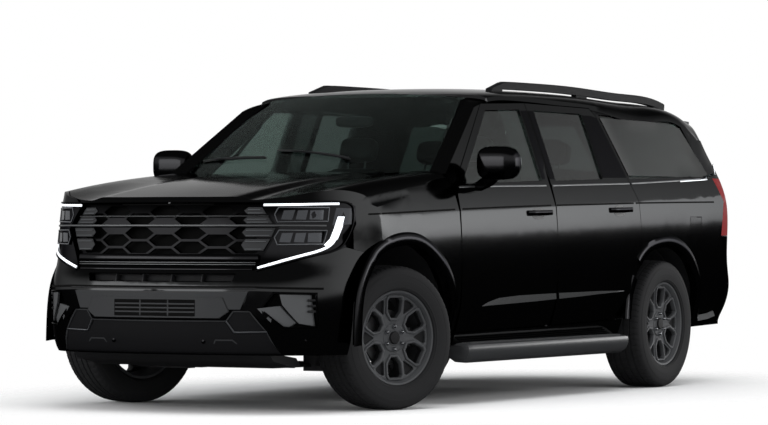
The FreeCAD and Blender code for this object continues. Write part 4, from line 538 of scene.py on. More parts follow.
# Wheels and tyres
SPOKE_WINDOW = [(0.110, 0.020), (0.146, 0.046), (0.205, 0.050), (0.2205, 0.040), (0.2205, -0.040),
                (0.205, -0.050), (0.146, -0.046), (0.110, -0.020)]
SPOKE_RECESS = [(0.150, 0.003), (0.214, 0.037), (0.225, 0.030), (0.2285, 0.0), (0.225, -0.030),
                (0.214, -0.037),
                (0.150, -0.003)]
RIB_WIDTH = 0.019
WINDOW_COUNT = 6
FACE_RADIUS = 0.240
LUG_CIRCLE = 0.0635
TREAD_GROOVES = (-0.068, -0.024, 0.024, 0.068)
GROOVE_WIDTH = 0.010
GROOVE_DEPTH = 0.008
TREAD_PITCHES = 68


def turned(points: list, angle: float) -> list:
    """(out, across) pairs as plane points at an angle round the axle."""
    return [(out * math.cos(angle) - side * math.sin(angle),
             out * math.sin(angle) + side * math.cos(angle)) for out, side in points]


def plate_with_holes(loops: list, thick: float, bevel: float) -> bpy.types.Mesh:
    """A flat plate about y = 0 cut by loops, the first loop its rim."""
    curve = bpy.data.curves.new("plate", "CURVE")
    curve.dimensions = "2D"
    curve.fill_mode = "BOTH"
    curve.extrude = thick / 2 - bevel
    curve.bevel_depth = bevel
    curve.bevel_resolution = 2
    curve.offset = -bevel
    for loop in loops:
        spline = curve.splines.new("POLY")
        spline.points.add(len(loop) - 1)
        for point, (a, b) in zip(spline.points, loop):
            point.co = (a, b, 0.0, 1.0)
        spline.use_cyclic_u = True
    holder = bpy.data.objects.new("plate", curve)
    bpy.context.scene.collection.objects.link(holder)
    bpy.context.view_layer.update()
    mesh = bpy.data.meshes.new_from_object(holder)
    bpy.data.objects.remove(holder)
    bpy.data.curves.remove(curve)
    mesh.transform(Matrix.Rotation(-math.pi / 2, 4, "X"))
    return outward(mesh)


def circle(radius: float, steps: int) -> list:
    """Points round a circle."""
    return [(radius * math.cos(i * 2 * math.pi / steps), radius * math.sin(i * 2 * math.pi / steps))
            for i in range(steps)]


def grown(loop: list, distance: float) -> list:
    """A convex loop moved outward from its own middle."""
    middle = np.mean(loop, axis=0)
    moved = []
    for point in loop:
        way = np.array(point) - middle
        length = np.linalg.norm(way)
        moved.append(tuple(middle + way * (length + distance) / length))
    return moved


def dished(mesh: bpy.types.Mesh, base: float, rise: float) -> bpy.types.Mesh:
    """Move a plate out along the axle, more at its rim."""
    points = np.empty(len(mesh.vertices) * 3)
    mesh.vertices.foreach_get("co", points)
    points = points.reshape(-1, 3)
    radius = np.hypot(points[:, 0], points[:, 2])
    points[:, 1] += base + rise * (radius / FACE_RADIUS) ** 2
    mesh.vertices.foreach_set("co", points.ravel())
    return mesh


def wheel_meshes() -> dict:
    """Wheel pieces about the origin with the outer face toward +Y, by look."""
    step = 2 * math.pi / WINDOW_COUNT
    windows = [turned(SPOKE_WINDOW, i * step + step / 2) for i in range(WINDOW_COUNT)]
    recesses = [turned(SPOKE_RECESS, i * step) for i in range(WINDOW_COUNT)]
    rim = circle(FACE_RADIUS, 96)
    front = dished(plate_with_holes([rim] + windows + recesses, 0.018, 0.003), 0.066, 0.018)
    back = dished(plate_with_holes([circle(FACE_RADIUS, 96)] + windows, 0.030, 0.002), 0.044, 0.018)
    frames = []
    for window in windows:
        frames.append(dished(plate_with_holes([grown(window, RIB_WIDTH), grown(window, 0.001)], 0.022,
                                              0.0065),
                             0.073, 0.018))
    barrel = revolved([(0.118, 0.262), (0.1165, 0.2515), (0.108, 0.2455), (0.099, 0.2405), (0.088, 0.2375),
                       (0.04, 0.232), (-0.10, 0.238), (-0.118, 0.248), (-0.118, 0.262), (-0.10, 0.2575),
                       (0.10, 0.2575)], 128)
    hub = revolved([(0.05, 0.0005), (0.05, 0.085), (0.079, 0.082), (0.084, 0.076), (0.084, 0.046),
                    (0.087, 0.042), (0.087, 0.0005)], 48)
    cap = revolved([(0.080, 0.0005), (0.080, 0.036), (0.093, 0.036), (0.097, 0.032), (0.098, 0.0005)], 40)
    nuts = []
    for i in range(WINDOW_COUNT):
        angle = i * step + step / 2
        nut = revolved([(0.070, 0.0005), (0.070, 0.0125), (0.090, 0.0125), (0.097, 0.0095), (0.101, 0.005),
                        (0.102, 0.0005)], 12)
        nut.transform(Matrix.Translation((LUG_CIRCLE * math.cos(angle), 0, LUG_CIRCLE * math.sin(angle))))
        nuts.append(nut)
    disc = revolved([(-0.014, 0.06), (-0.014, 0.156), (-0.004, 0.156), (-0.004, 0.150), (0.004, 0.150),
                     (0.004, 0.156), (0.014, 0.156), (0.014, 0.08), (0.047, 0.076), (0.047, 0.06)], 72)
    return {
        Look.WHEEL: join([front, barrel, hub] + frames),
        Look.WHEEL_DARK: join([back, cap]),
        Look.CHROME: join(nuts),
        Look.DISC: disc,
    }


def tyre_mesh() -> bpy.types.Mesh:
    """A tyre about the origin with rings on its walls and blocks on its tread."""
    wall = [(0.117, 0.2635), (0.126, 0.268), (0.1315, 0.277), (0.1335, 0.2775), (0.1345, 0.2835),
            (0.1340, 0.2845), (0.1368, 0.300), (0.1378, 0.318), (0.1372, 0.3185), (0.1378, 0.332),
            (0.1368, 0.3445), (0.1376, 0.3452), (0.1360, 0.3575), (0.1345, 0.3580), (0.1320, 0.3700),
            (0.1290, 0.3790), (0.1235, 0.3875), (0.1150, 0.3940), (0.1030, 0.3978)]
    tread = []
    for middle in sorted(TREAD_GROOVES, reverse=True):
        half = GROOVE_WIDTH / 2
        top = tread_radius(middle)
        tread += [(middle + half + 0.0015, top), (middle + half - 0.001, top - GROOVE_DEPTH),
                  (middle - half + 0.001, top - GROOVE_DEPTH), (middle - half - 0.0015, top)]
    outer = wall + [(0.085, tread_radius(0.085))] + tread + [(-0.085, tread_radius(0.085))]
    outer += [(-a, r) for a, r in reversed(wall)]
    inner = [(-0.105, 0.268), (-0.122, 0.32), (-0.105, 0.375), (0.105, 0.375), (0.122, 0.32),
             (0.105, 0.268)]

    def blocks(angle, along, radius):
        """Depth of the tread at points of the tyre."""
        phase = (angle * TREAD_PITCHES / (2 * math.pi) + np.abs(along) * 6.0) % 1.0
        notch = np.where(phase < 0.17, 1.0, 0.0)
        rim = np.clip((np.abs(along) - 0.073) / 0.01, 0, 1) * np.clip((radius - 0.384) / 0.008, 0, 1)
        middle = (np.abs(along) < 0.063) & (radius > 0.397)
        return -0.0055 * notch * rim - 0.003 * notch * middle

    return revolved(outer + inner, 408, blocks)


def tread_radius(along: float) -> float:
    """Radius of the tread at a place across it."""
    return TYRE_RADIUS - 0.0002 - 0.22 * along ** 2


def wheel_matrix(side: int, front: bool) -> Matrix:
    """Where a wheel drawn about the origin belongs."""
    flip = Matrix.Rotation(0 if side > 0 else math.pi, 4, "Z")
    if not front:
        return Matrix.Translation((AXLE_X - WHEELBASE, side * 0.856, TYRE_RADIUS)) @ flip
    turn = Matrix.Rotation(STEER_AT_REST, 4, "Z")
    arm = turn @ Vector((0, side * 0.040, 0))
    spot = Matrix.Translation((AXLE_X + arm.x, side * 0.816 + arm.y, TYRE_RADIUS))
    return spot @ turn @ flip


def build_wheels() -> None:
    """Wheels, brake discs and tyres in the place of the plain ones."""
    pieces = wheel_meshes()
    tyre = tyre_mesh()
    for side, word in ((1, "left"), (-1, "right")):
        for front, end in ((True, "front"), (False, "rear")):
            place = wheel_matrix(side, front)
            body = f"wheel_{end}_{word}"
            for look, mesh in pieces.items():
                own = mesh.copy()
                own.transform(place)
                piece = finish_piece(own, f"{body}_{look.name.lower()}", look, body)
                if look is Look.WHEEL:
                    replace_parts(piece, body)
            own = tyre.copy()
            own.transform(place)
            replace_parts(finish_piece(own, f"tyre_{end}_{word}_look", Look.TYRE, body, 28.0),
                        f"tyre_{end}_{word}")


# Front of the vehicle
GRILLE_EDGE = [(0.580, 1.134), (0.676, 1.005), (0.566, 0.790), (-0.566, 0.790), (-0.676, 1.005),
               (-0.580, 1.134)]


def on_nose(lift: float):
    """A placing function for plates on the nose."""
    return lambda y, z, depth: nose_point(y, z, depth - lift)


def build_grille() -> None:
    """Honeycomb, bars, ribbed ends and the lines of its lower frame."""
    dress("grille", Look.WEB)
    # Near-black sheet behind the honeycomb: painted shade seen through its openings
    backing = panel(GRILLE_EDGE, on_nose(-0.085), 0.004, 0.08)
    finish_piece(backing, "grille_shade_sheet", Look.GROOVE, "body")
    # Near-black strip in the gap at the hood's front edge: the seal there, and painted shade in the gap
    seal = nose_strip([(-0.3, 1.1445), (0.3, 1.1445)], 0.007, 0.004, -0.027, 8)
    finish_piece(seal, "hood_edge_shade_and_seal", Look.GROOVE, "body")
    bar = nose_strip([(-0.873, 1.022), (-0.669, 1.023), (0.669, 1.023), (0.873, 1.022)], 0.011, 0.016,
                     -0.010)
    slim = nose_strip([(-0.62, 1.077), (0.62, 1.077)], 0.0035, 0.010, -0.022, 40)
    finish_piece(join([bar, slim]), "grille_bars", Look.BELT, "body", TRIM_ANGLE)
    ribs, fillers = [], []
    for low, high in ((0.888, 0.950), (0.962, 1.010), (1.034, 1.070), (1.084, 1.122)):
        reach = [float(np.interp(z, [0.79, 1.005, 1.134], [0.560, 0.668, 0.574])) - 0.010 for z in (low,
                                                                                                    high)]
        block = [(0.500, low), (reach[0], low), (reach[1], high), (0.500, high), (0.478, (low + high) / 2)]
        fillers.append(panel(block, on_nose(-0.022), 0.006, 0.05))
        for z in (low + 0.010, high - 0.010):
            edge = float(np.interp(z, [0.79, 1.005, 1.134], [0.560, 0.668, 0.574])) - 0.018
            ribs.append(nose_strip([(0.505, z), (edge, z)], 0.004, 0.006, -0.021, 6))
    finish_piece(both(join(fillers)), "grille_fillers", Look.PANEL_GREY, "body", TRIM_ANGLE)
    finish_piece(both(join(ribs)), "grille_ribs", Look.GREY_TRIM, "body", TRIM_ANGLE)
    band = nose_strip([(-0.585, 0.852), (0.585, 0.852)], 0.036, 0.010, -0.018, 40)
    foot = nose_strip([(-0.560, 0.795), (0.560, 0.795)], 0.024, 0.012, -0.014, 40)
    finish_piece(join([band, foot]), "grille_frame", Look.GLOSS_BLACK, "body", TRIM_ANGLE)
    lines = [nose_strip([(-0.574, z), (0.574, z)], 0.0045, 0.006, -0.010, 40) for z in (0.824, 0.813)]
    finish_piece(join(lines), "grille_lines", Look.BELT, "body", TRIM_ANGLE)


def on_centre(lift: float):
    """A placing function for plates on the middle of the nose, nearly flush where it is furthest forward."""
    def place(y: float, z: float, depth: float) -> tuple:
        """Point at a depth under the plate's face."""
        shown = min(lift, 0.0004 + 0.08 * lift + 0.12 * y * y)
        return nose_point(y, z, depth - shown)
    return place


def leaning(start: float, lift: float):
    """A placing function for blades that stand out more toward the middle."""
    return lambda y, z, depth: nose_point(y, z, depth - lift + 0.16 * (y - start))


UPPER_STRIP = [(0.594, 1.134), (0.766, 1.136), (0.905, 1.141)]
LOWER_STRIP = [(0.916, 1.066), (0.912, 1.010), (0.903, 0.950), (0.886, 0.912), (0.850, 0.884),
               (0.784, 0.858),
               (0.690, 0.826), (0.590, 0.793)]
LAMP_BLADE = [(0.925, 1.072), (0.907, 1.072), (0.898, 1.000), (0.889, 0.950), (0.872, 0.918),
              (0.884, 0.908),
              (0.911, 0.950), (0.921, 1.010)]
LAMP_RIM = [(0.592, 1.146), (0.766, 1.149), (0.900, 1.152), (0.935, 1.138), (0.945, 1.100), (0.946, 1.030),
            (0.934, 0.950), (0.915, 0.900), (0.872, 0.872), (0.790, 0.845), (0.690, 0.812), (0.586, 0.780)]
UPPER_MODULE = [(0.655, 1.083), (0.672, 1.042), (0.877, 1.046), (0.877, 1.119), (0.672, 1.121)]
LOWER_MODULE = [(0.664, 0.958), (0.680, 0.920), (0.868, 0.924), (0.877, 0.996), (0.684, 0.998)]
MARKER = [(0.893, 1.024), (0.944, 1.030), (0.941, 1.116), (0.900, 1.119)]


def inward(loop: list, distance: float) -> list:
    """A convex loop moved toward its middle."""
    return grown(loop, -distance)


def build_headlamps() -> None:
    """Light strips, modules and markers of both headlamps."""
    dress("headlamps", Look.LAMP_DARK)
    strips = [nose_strip(UPPER_STRIP, 0.012, 0.006, 0.0),
              nose_strip(smooth_line(LOWER_STRIP), 0.0135, 0.007, 0.0, 1)]
    strips.append(panel(LAMP_BLADE, on_nose(0.005), 0.004, 0.04))
    finish_piece(both(join(strips)), "headlamp_strips", Look.LAMP_WHITE, "body", TRIM_ANGLE)
    rim = nose_strip(smooth_line(LAMP_RIM), 0.010, 0.008, 0.0, 1)
    finish_piece(both(rim), "headlamp_outline", Look.GLOSS_BLACK, "body", TRIM_ANGLE)
    rims, lenses, eyes = [], [], []
    for module in (UPPER_MODULE, LOWER_MODULE):
        closed = module + module[:1]
        rims.append(nose_strip(closed, 0.006, 0.006, 0.0))
        lenses.append(panel(inward(module, 0.006), on_nose(0.002), 0.003, 0.03))
        middle_z = (module[1][1] + module[3][1]) / 2
        for low, high, tilt in ((0.690, 0.742, 0.010), (0.758, 0.800, 0.006), (0.814, 0.862, 0.0)):
            facet = [(low, middle_z - 0.024), (high, middle_z - 0.026), (high + tilt, middle_z + 0.026),
                     (low + tilt, middle_z + 0.024)]
            eyes.append(panel(facet, on_nose(0.004), 0.004, 0.03))
    finish_piece(both(join(rims)), "headlamp_rims", Look.SATIN_METAL, "body", TRIM_ANGLE)
    finish_piece(both(join(lenses)), "headlamp_lenses", Look.LAMP_DARK, "body", TRIM_ANGLE)
    finish_piece(both(join(eyes)), "headlamp_eyes", Look.LAMP_LENS, "body", TRIM_ANGLE)
    marker = panel(MARKER, on_nose(0.004), 0.004, 0.02)
    finish_piece(both(marker), "headlamp_markers", Look.MARKER, "body", TRIM_ANGLE)


CENTRE_PANEL = [(0.562, 0.668), (-0.562, 0.668), (-0.520, 0.571), (0.520, 0.571)]
TRAPEZOID = [(0.420, 0.634), (-0.420, 0.634), (-0.455, 0.560), (-0.400, 0.524), (0.400, 0.524),
             (0.455, 0.560)]
SKID_LINE = [(0.700, 0.335), (0.650, 0.452), (0.566, 0.560), (0.476, 0.560), (0.436, 0.508), (0.0, 0.505),
             (-0.436, 0.508), (-0.476, 0.560), (-0.566, 0.560), (-0.650, 0.452), (-0.700, 0.335)]
SKID_TAB = [(0.436, 0.506), (0.476, 0.446), (0.654, 0.450), (0.716, 0.352)]
SKID_RIDGE = [(0.330, 0.352), (0.365, 0.402), (0.460, 0.402), (0.520, 0.345)]
FOG_POCKET = [(0.690, 0.662), (0.862, 0.655), (0.866, 0.476), (0.738, 0.472), (0.626, 0.575)]
FOG_WING = [(0.566, 0.672), (0.690, 0.668), (0.626, 0.575), (0.665, 0.535), (0.640, 0.505), (0.575, 0.560),
            (0.530, 0.571)]
FOG_BLADE = [(0.612, 0.577), (0.716, 0.590), (0.782, 0.500), (0.754, 0.478), (0.690, 0.486)]
FOG_FLAP = [(0.722, 0.652), (0.838, 0.650), (0.850, 0.482), (0.800, 0.496), (0.734, 0.596)]
SLOT = [(0.472, 0.760), (0.458, 0.722), (-0.458, 0.722), (-0.472, 0.760)]


def build_bumper() -> None:
    """Intakes, centre panel, skid trim, lamp pods and sensors of the front bumper."""
    bumper = dress("front_bumper", Look.PAINT)
    for vertex in bumper.data.vertices:
        vertex.co.x = min(vertex.co.x, NOSE_FLAT)
    dress("skid_panel", Look.SKID)
    finish_piece(panel(SLOT, on_nose(-0.050), 0.004, 0.06), "slot_backing", Look.WHEEL_DARK, "body")
    webs = [nose_strip([(y, 0.717), (y, 0.765)], 0.012, 0.030, -0.042, 3) for y in (-0.28, -0.093, 0.093,
                                                                                    0.28)]
    finish_piece(join(webs), "slot_webs", Look.SATIN_BLACK, "body", TRIM_ANGLE)
    finish_piece(nose_strip([(-0.60, 0.684), (0.60, 0.684)], 0.010, 0.004, 0.0, 40), "bumper_line",
                 Look.SATIN_BLACK, "body", TRIM_ANGLE)
    sheet, fine = 0.003, 0.02
    finish_piece(panel(CENTRE_PANEL, on_centre(0.010), sheet, fine), "centre_panel", Look.PANEL_GREY,
                 "body", TRIM_ANGLE)
    ring = panel(grown(TRAPEZOID, 0.005), on_centre(0.012), sheet, fine)
    finish_piece(ring, "centre_ring", Look.SATIN_BLACK, "body", TRIM_ANGLE)
    finish_piece(panel(TRAPEZOID, on_centre(0.014), sheet, fine), "centre_recess", Look.PANEL_GREY,
                 "body", TRIM_ANGLE)
    # Near-black sheet behind the lower grille bars: painted shade of the opening
    backing = panel([(0.262, 0.622), (-0.262, 0.622), (-0.262, 0.532), (0.262, 0.532)], on_centre(0.017),
                    sheet, fine)
    finish_piece(backing, "lower_grille_shade_sheet", Look.GROOVE, "body")
    bars = []
    for low_y, high_y, low_z, high_z in ((-0.258, 0.258, 0.551, 0.559), (-0.258, 0.258, 0.573, 0.581),
                                         (-0.258, 0.258, 0.595, 0.603), (-0.094, -0.086, 0.534, 0.620),
                                         (0.086, 0.094, 0.534, 0.620)):
        bars.append(panel([(high_y, high_z), (low_y, high_z), (low_y, low_z), (high_y, low_z)],
                          on_centre(0.021),
                          sheet, fine))
    finish_piece(join(bars), "lower_grille_bars", Look.PANEL_GREY, "body", TRIM_ANGLE)
    line = nose_strip(SKID_LINE, 0.007, 0.007, -0.008)
    tabs = both(nose_strip(SKID_TAB, 0.009, 0.007, -0.007))
    finish_piece(tabs, "skid_tabs", Look.SATIN_METAL, "body", TRIM_ANGLE)
    ridges = both(nose_strip(SKID_RIDGE, 0.008, 0.008, -0.014))
    finish_piece(join([line, ridges]), "skid_trim", Look.PANEL_GREY, "body", TRIM_ANGLE)
    # Near-black sheet deep in each fog lamp pocket: painted shade of the recess
    pod = panel(FOG_POCKET, on_nose(-0.048), 0.004)
    finish_piece(both(pod), "fog_pocket_shade_sheet", Look.GROOVE, "body", TRIM_ANGLE)
    wing = panel(FOG_WING, on_nose(0.008), 0.006)
    finish_piece(both(wing), "fog_wing", Look.GLOSS_BLACK, "body", TRIM_ANGLE)
    # Near-black strip under the bumper's painted band: a painted shadow of the gap there
    gap_shade = nose_strip([(-0.885, 0.682), (-0.6, 0.690), (0.6, 0.690), (0.885, 0.682)], 0.012, 0.003,
                        0.001, 20)
    finish_piece(gap_shade, "bumper_groove", Look.GROOVE, "body", TRIM_ANGLE)
    blades = [panel(FOG_BLADE, leaning(0.610, 0.012), 0.020, 0.04),
              panel(FOG_FLAP, leaning(0.726, 0.010), 0.020, 0.04)]
    finish_piece(both(join(blades)), "fog_blades", Look.FOG_GREY, "body", TRIM_ANGLE)
    louvres = [nose_strip([(0.835, z), (0.862, z)], 0.012, 0.010, -0.006, 3) for z in (0.560, 0.590, 0.620)]
    finish_piece(both(join(louvres)), "fog_louvres", Look.SATIN_BLACK, "body", TRIM_ANGLE)
    rim = nose_strip(FOG_POCKET + FOG_POCKET[:1], 0.010, 0.010, -0.004)
    finish_piece(both(rim), "fog_rims", Look.GLOSS_BLACK, "body", TRIM_ANGLE)
    sensors = []
    for y, z in ((0.291, 0.395), (0.815, 0.401), (-0.291, 0.395), (-0.815, 0.401)):
        sensor = revolved([(-0.002, 0.0005), (-0.002, 0.012), (0.003, 0.011), (0.004, 0.0005)], 20)
        sensor.transform(Matrix.Translation(nose_point(y, z, 0.006)) @ Matrix.Rotation(-math.pi / 2, 4,
                                                                                       "Z"))
        sensors.append(sensor)
    finish_piece(join(sensors), "park_sensors", Look.GLOSS_BLACK, "body", TRIM_ANGLE)
    tray = [(0.88, 0.330), (0.84, 0.290), (0.62, 0.246), (0.50, 0.236), (-0.46, 0.226), (-0.46, 0.240),
            (0.50, 0.250), (0.62, 0.262), (0.82, 0.306), (0.87, 0.345)]
    apron = [(0.88, 0.330), (0.84, 0.290), (0.62, 0.246), (0.56, 0.262), (0.60, 0.30), (0.82, 0.33)]
    shields = [prism(tray, lambda x, z, y: (AXLE_X + x, y, z), -0.43, 0.43)]
    shields.append(both(prism(apron, lambda x, z, y: (AXLE_X + x, y, z), 0.425, 0.64)))
    finish_piece(join(shields), "undertray", Look.UNDERBODY, "body", TRIM_ANGLE)


# Sides of the vehicle
SIDE_NODES = ["door_front_left", "door_rear_left", "door_front_right", "door_rear_right", "front_fenders",
              "quarter_panels", "side_frames", "tail_lamps", "rear_bumper"]


def ax(length: float) -> float:
    """Frame x of a place given from the front axle."""
    return AXLE_X + length


def side_strip(surface: CadSurface, points: list, sign: int, width: float, thick: float, lift: float = 0.0,
               steps: int = 10) -> bpy.types.Mesh:
    """A bar along the body side through (length from the axle, height) points."""
    track = []
    for (x0, z0), (x1, z1) in zip(points, points[1:]):
        for i in range(steps):
            share = i / steps
            track.append((x0 + (x1 - x0) * share, z0 + (z1 - z0) * share))
    track.append(points[-1])
    path = np.array([surface.side(ax(x), z, sign, lift + thick / 2) for x, z in track])
    along = np.gradient(path, axis=0)
    along /= np.linalg.norm(along, axis=1)[:, None]
    out = np.array([0.0, sign, 0.35])
    across = np.cross(along, out)
    across /= np.linalg.norm(across, axis=1)[:, None]
    return strip(path, across, width, np.cross(across, along), thick)


HANDLES = {"front": (-1.420, -1.729, 1.097), "rear": (-2.508, -2.817, 1.118)}


def build_handles(surface: CadSurface) -> None:
    """Door handles over a shallow dark cup."""
    for end, (front, back, z) in HANDLES.items():
        for sign, word in ((1, "left"), (-1, "right")):
            body = f"door_{end}_{word}"
            track = np.linspace(0, 1, 15)
            path, widths = [], []
            for share in track:
                x = front + (back - front) * share
                stand = 0.022 * min(1.0, 6 * share, 6 * (1 - share)) + 0.002
                path.append(surface.side(ax(x), z + 0.004 * share, sign, stand))
                widths.append(1.0)
            path = np.array(path)
            grip = strip(path, (0, 0, 1), 0.030, (0, sign, 0), 0.014)
            finish_piece(grip, f"handle_{end}_{word}", Look.GLOSS_BLACK, body, TRIM_ANGLE)
            middle = (front + back) / 2 + 0.02
            cup = side_plate(surface, oval(middle, z - 0.004, 0.085, 0.034), sign, 0.0012, 0.004)
            finish_piece(cup, f"handle_cup_{end}_{word}", Look.SATIN_BLACK, body, TRIM_ANGLE)


def oval(x: float, z: float, wide: float, high: float, steps: int = 24) -> list:
    """Corners of an oval given from the front axle."""
    return [(x + wide * math.cos(i * 2 * math.pi / steps), z + high * math.sin(i * 2 * math.pi / steps))
            for i in range(steps)]


def side_plate(surface: CadSurface, outline: list, sign: int, lift: float, thick: float,
               cell: float = 0.05) -> bpy.types.Mesh:
    """A plate that follows the body side."""
    return panel(outline, lambda x, z, depth: surface.side(ax(x), z, sign, lift - depth), thick, cell)


BELT_FRONT = [(-0.648, 1.243), (-1.15, 1.253), (-1.786, 1.262)]
BELT_REAR = [(-1.802, 1.262), (-2.35, 1.274), (-2.846, 1.284)]
BELT_QUARTER = [(-2.880, 1.285), (-3.45, 1.305), (-4.02, 1.326)]
LOWER_FRONT = [(-0.860, 0.560, 0.0), (-0.930, 0.572, 0.010), (-1.060, 0.584, 0.019), (-1.30, 0.592, 0.021),
               (-1.50, 0.596, 0.020), (-1.780, 0.602, 0.017)]
LOWER_REAR = [(-1.818, 0.603, 0.017), (-2.10, 0.608, 0.013), (-2.35, 0.614, 0.009), (-2.60, 0.617, 0.004),
              (-2.700, 0.619, 0.0)]
# Paths of the near-black strips that paint the shade of the crease under the windows
SHOULDER_FENDER = [(0.40, 1.085), (0.0, 1.098), (-0.598, 1.116)]
SHOULDER_FRONT = [(-0.630, 1.117), (-1.20, 1.132), (-1.786, 1.144)]
SHOULDER_REAR = [(-1.806, 1.144), (-2.35, 1.153), (-2.846, 1.162)]
SHOULDER_QUARTER = [(-2.880, 1.163), (-3.45, 1.170), (-4.06, 1.176)]
CREASE_TILT = 0.075
FRONT_PILLAR_PLATE = [(-1.704, 1.300), (-1.716, 1.710), (-1.784, 1.712), (-1.784, 1.302)]
REAR_PILLAR_PLATE = [(-1.804, 1.302), (-1.804, 1.712), (-1.870, 1.712), (-1.862, 1.302)]
VALANCE = [(-3.90, 0.430), (-4.05, 0.440), (-4.15, 0.455)]
BACK_PILLAR_PLATE = [(-2.510, 1.318), (-2.510, 1.702), (-2.622, 1.702), (-2.690, 1.690), (-2.834, 1.322)]


def crease_facet(surface: CadSurface, points: list, sign: int) -> bpy.types.Mesh:
    """A long lens-shaped facet of the door that looks slightly up.

    Args:
        surface: the body side.
        points: (length from the axle, middle height, half height) rows from front to rear.
        sign: the side of the vehicle.
    Returns:
        A closed wedge, thickest along its lower edge.
    """
    rows = []
    for x, z, half in points:
        half = max(half, 0.0015)
        top = surface.side(ax(x), z + half, sign, 0.001)
        low = surface.side(ax(x), z - half, sign, 0.001)
        reach = max(sign * low[1] + 0.001, sign * top[1] + 2 * half * CREASE_TILT)
        back = min(sign * top[1], sign * low[1]) - 0.004
        rows.append([(ax(x), sign * back, z + half), (ax(x), top[1], z + half),
                     (ax(x), sign * reach, z - half),
                     (ax(x), sign * back, z - half)])
    faces = grid_faces(len(rows), 4, False, True)
    faces.append((0, 1, 2, 3))
    faces.append(tuple(range((len(rows) - 1) * 4, len(rows) * 4)))
    return outward(mesh_from(np.array(rows).reshape(-1, 3), faces))


BOARD_SECTION = [(0.905, 0.262), (0.905, 0.345), (0.930, 0.352), (1.000, 0.350), (1.030, 0.342),
                 (1.0375, 0.325),
                 (1.036, 0.300), (1.020, 0.262), (0.985, 0.238), (0.940, 0.240)]


def build_boards() -> None:
    """Running boards with a moulded tread between the wheels."""
    for sign, word in ((1, "left"), (-1, "right")):
        rows = []
        for x, shrink in ((-0.640, 0.030), (-0.655, 0.008), (-0.70, 0.0), (-2.66, 0.0), (-2.72, 0.008),
                          (-2.735, 0.030)):
            for y, z in BOARD_SECTION:
                rows.append((ax(x), sign * (y - shrink * (y - 0.905) / 0.133),
                             z + shrink * (0.30 - z) / 0.12))
        count = len(BOARD_SECTION)
        faces = grid_faces(6, count, False, True)
        faces.append(tuple(range(count)))
        faces.append(tuple(range(5 * count, 6 * count)))
        board = outward(mesh_from(np.array(rows), faces))
        piece = finish_piece(board, f"running_board_{word}", Look.BOARD, "body", TRIM_ANGLE)
        if word == "left":
            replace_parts(piece, "running_boards")
        treads = []
        for y in (0.940, 0.958, 0.976, 0.994):
            low, high = sorted((sign * y, sign * (y + 0.008)))
            treads.append(box_mesh((ax(-2.66), low, 0.349), (ax(-0.72), high, 0.3545)))
        finish_piece(join(treads), f"board_treads_{word}", Look.TRIM, "body", TRIM_ANGLE)
        sill = box_mesh((ax(-2.70), min(sign * 0.80, sign * 0.93), 0.300),
                        (ax(-0.66), max(sign * 0.80, sign * 0.93), 0.322))
        finish_piece(sill, f"board_shield_{word}", Look.UNDERBODY, "body", TRIM_ANGLE)


def quarter_pane(sign: int) -> bpy.types.Mesh:
    """The dark rearmost side pane, a little outside the body."""
    surface = CadSurface(["fixed_glass"])
    terms, reach = [], []
    for x in np.linspace(-2.95, -3.90, 12):
        for z in np.linspace(1.36, 1.64, 8):
            place = surface.hit((ax(x), sign * 3.0, z), (0, -sign, 0))
            if place is not None and place.y * sign > 0.7:
                terms.append((1.0, x, z, x * x, x * z, z * z))
                reach.append(place.y * sign)
    skin = CadSurface(["fixed_glass", "quarter_panels", "roof_panel"])
    fit = np.linalg.lstsq(np.array(terms), np.array(reach), rcond=None)[0]
    rows = []
    for share in np.linspace(0, 1, 9):
        for place in np.linspace(0, 1, 17):
            low = np.array([-2.872 - 1.204 * place, 1.334])
            high = np.array([-2.735 - 1.130 * place, 1.692 - 0.010 * place - 0.030 * place ** 6])
            x, z = low + (high - low) * share
            y = float(fit @ (1.0, x, z, x * x, x * z, z * z)) + 0.006
            rows.append((ax(x), sign * (min(max(y, sign * skin.side(ax(x), z, sign)[1]),
                                            y + 0.04) + 0.004), z))
    outer = np.array(rows)
    inner = outer - np.array([0.0, sign * 0.004, 0.0])
    points = np.concatenate([outer.reshape(-1, 3), inner.reshape(-1, 3)])
    count = 9 * 17
    faces = grid_faces(9, 17, False, False)
    faces += [tuple(reversed([i + count for i in face])) for face in faces]
    rim = list(range(17)) + [17 * i + 16 for i in range(1, 9)] + list(range(9 * 17 - 2, 8 * 17 - 1, -1))
    rim += [17 * i for i in range(7, 0, -1)]
    for a, b in zip(rim, rim[1:] + rim[:1]):
        faces.append((b, a, a + count, b + count))
    return outward(mesh_from(points, faces))


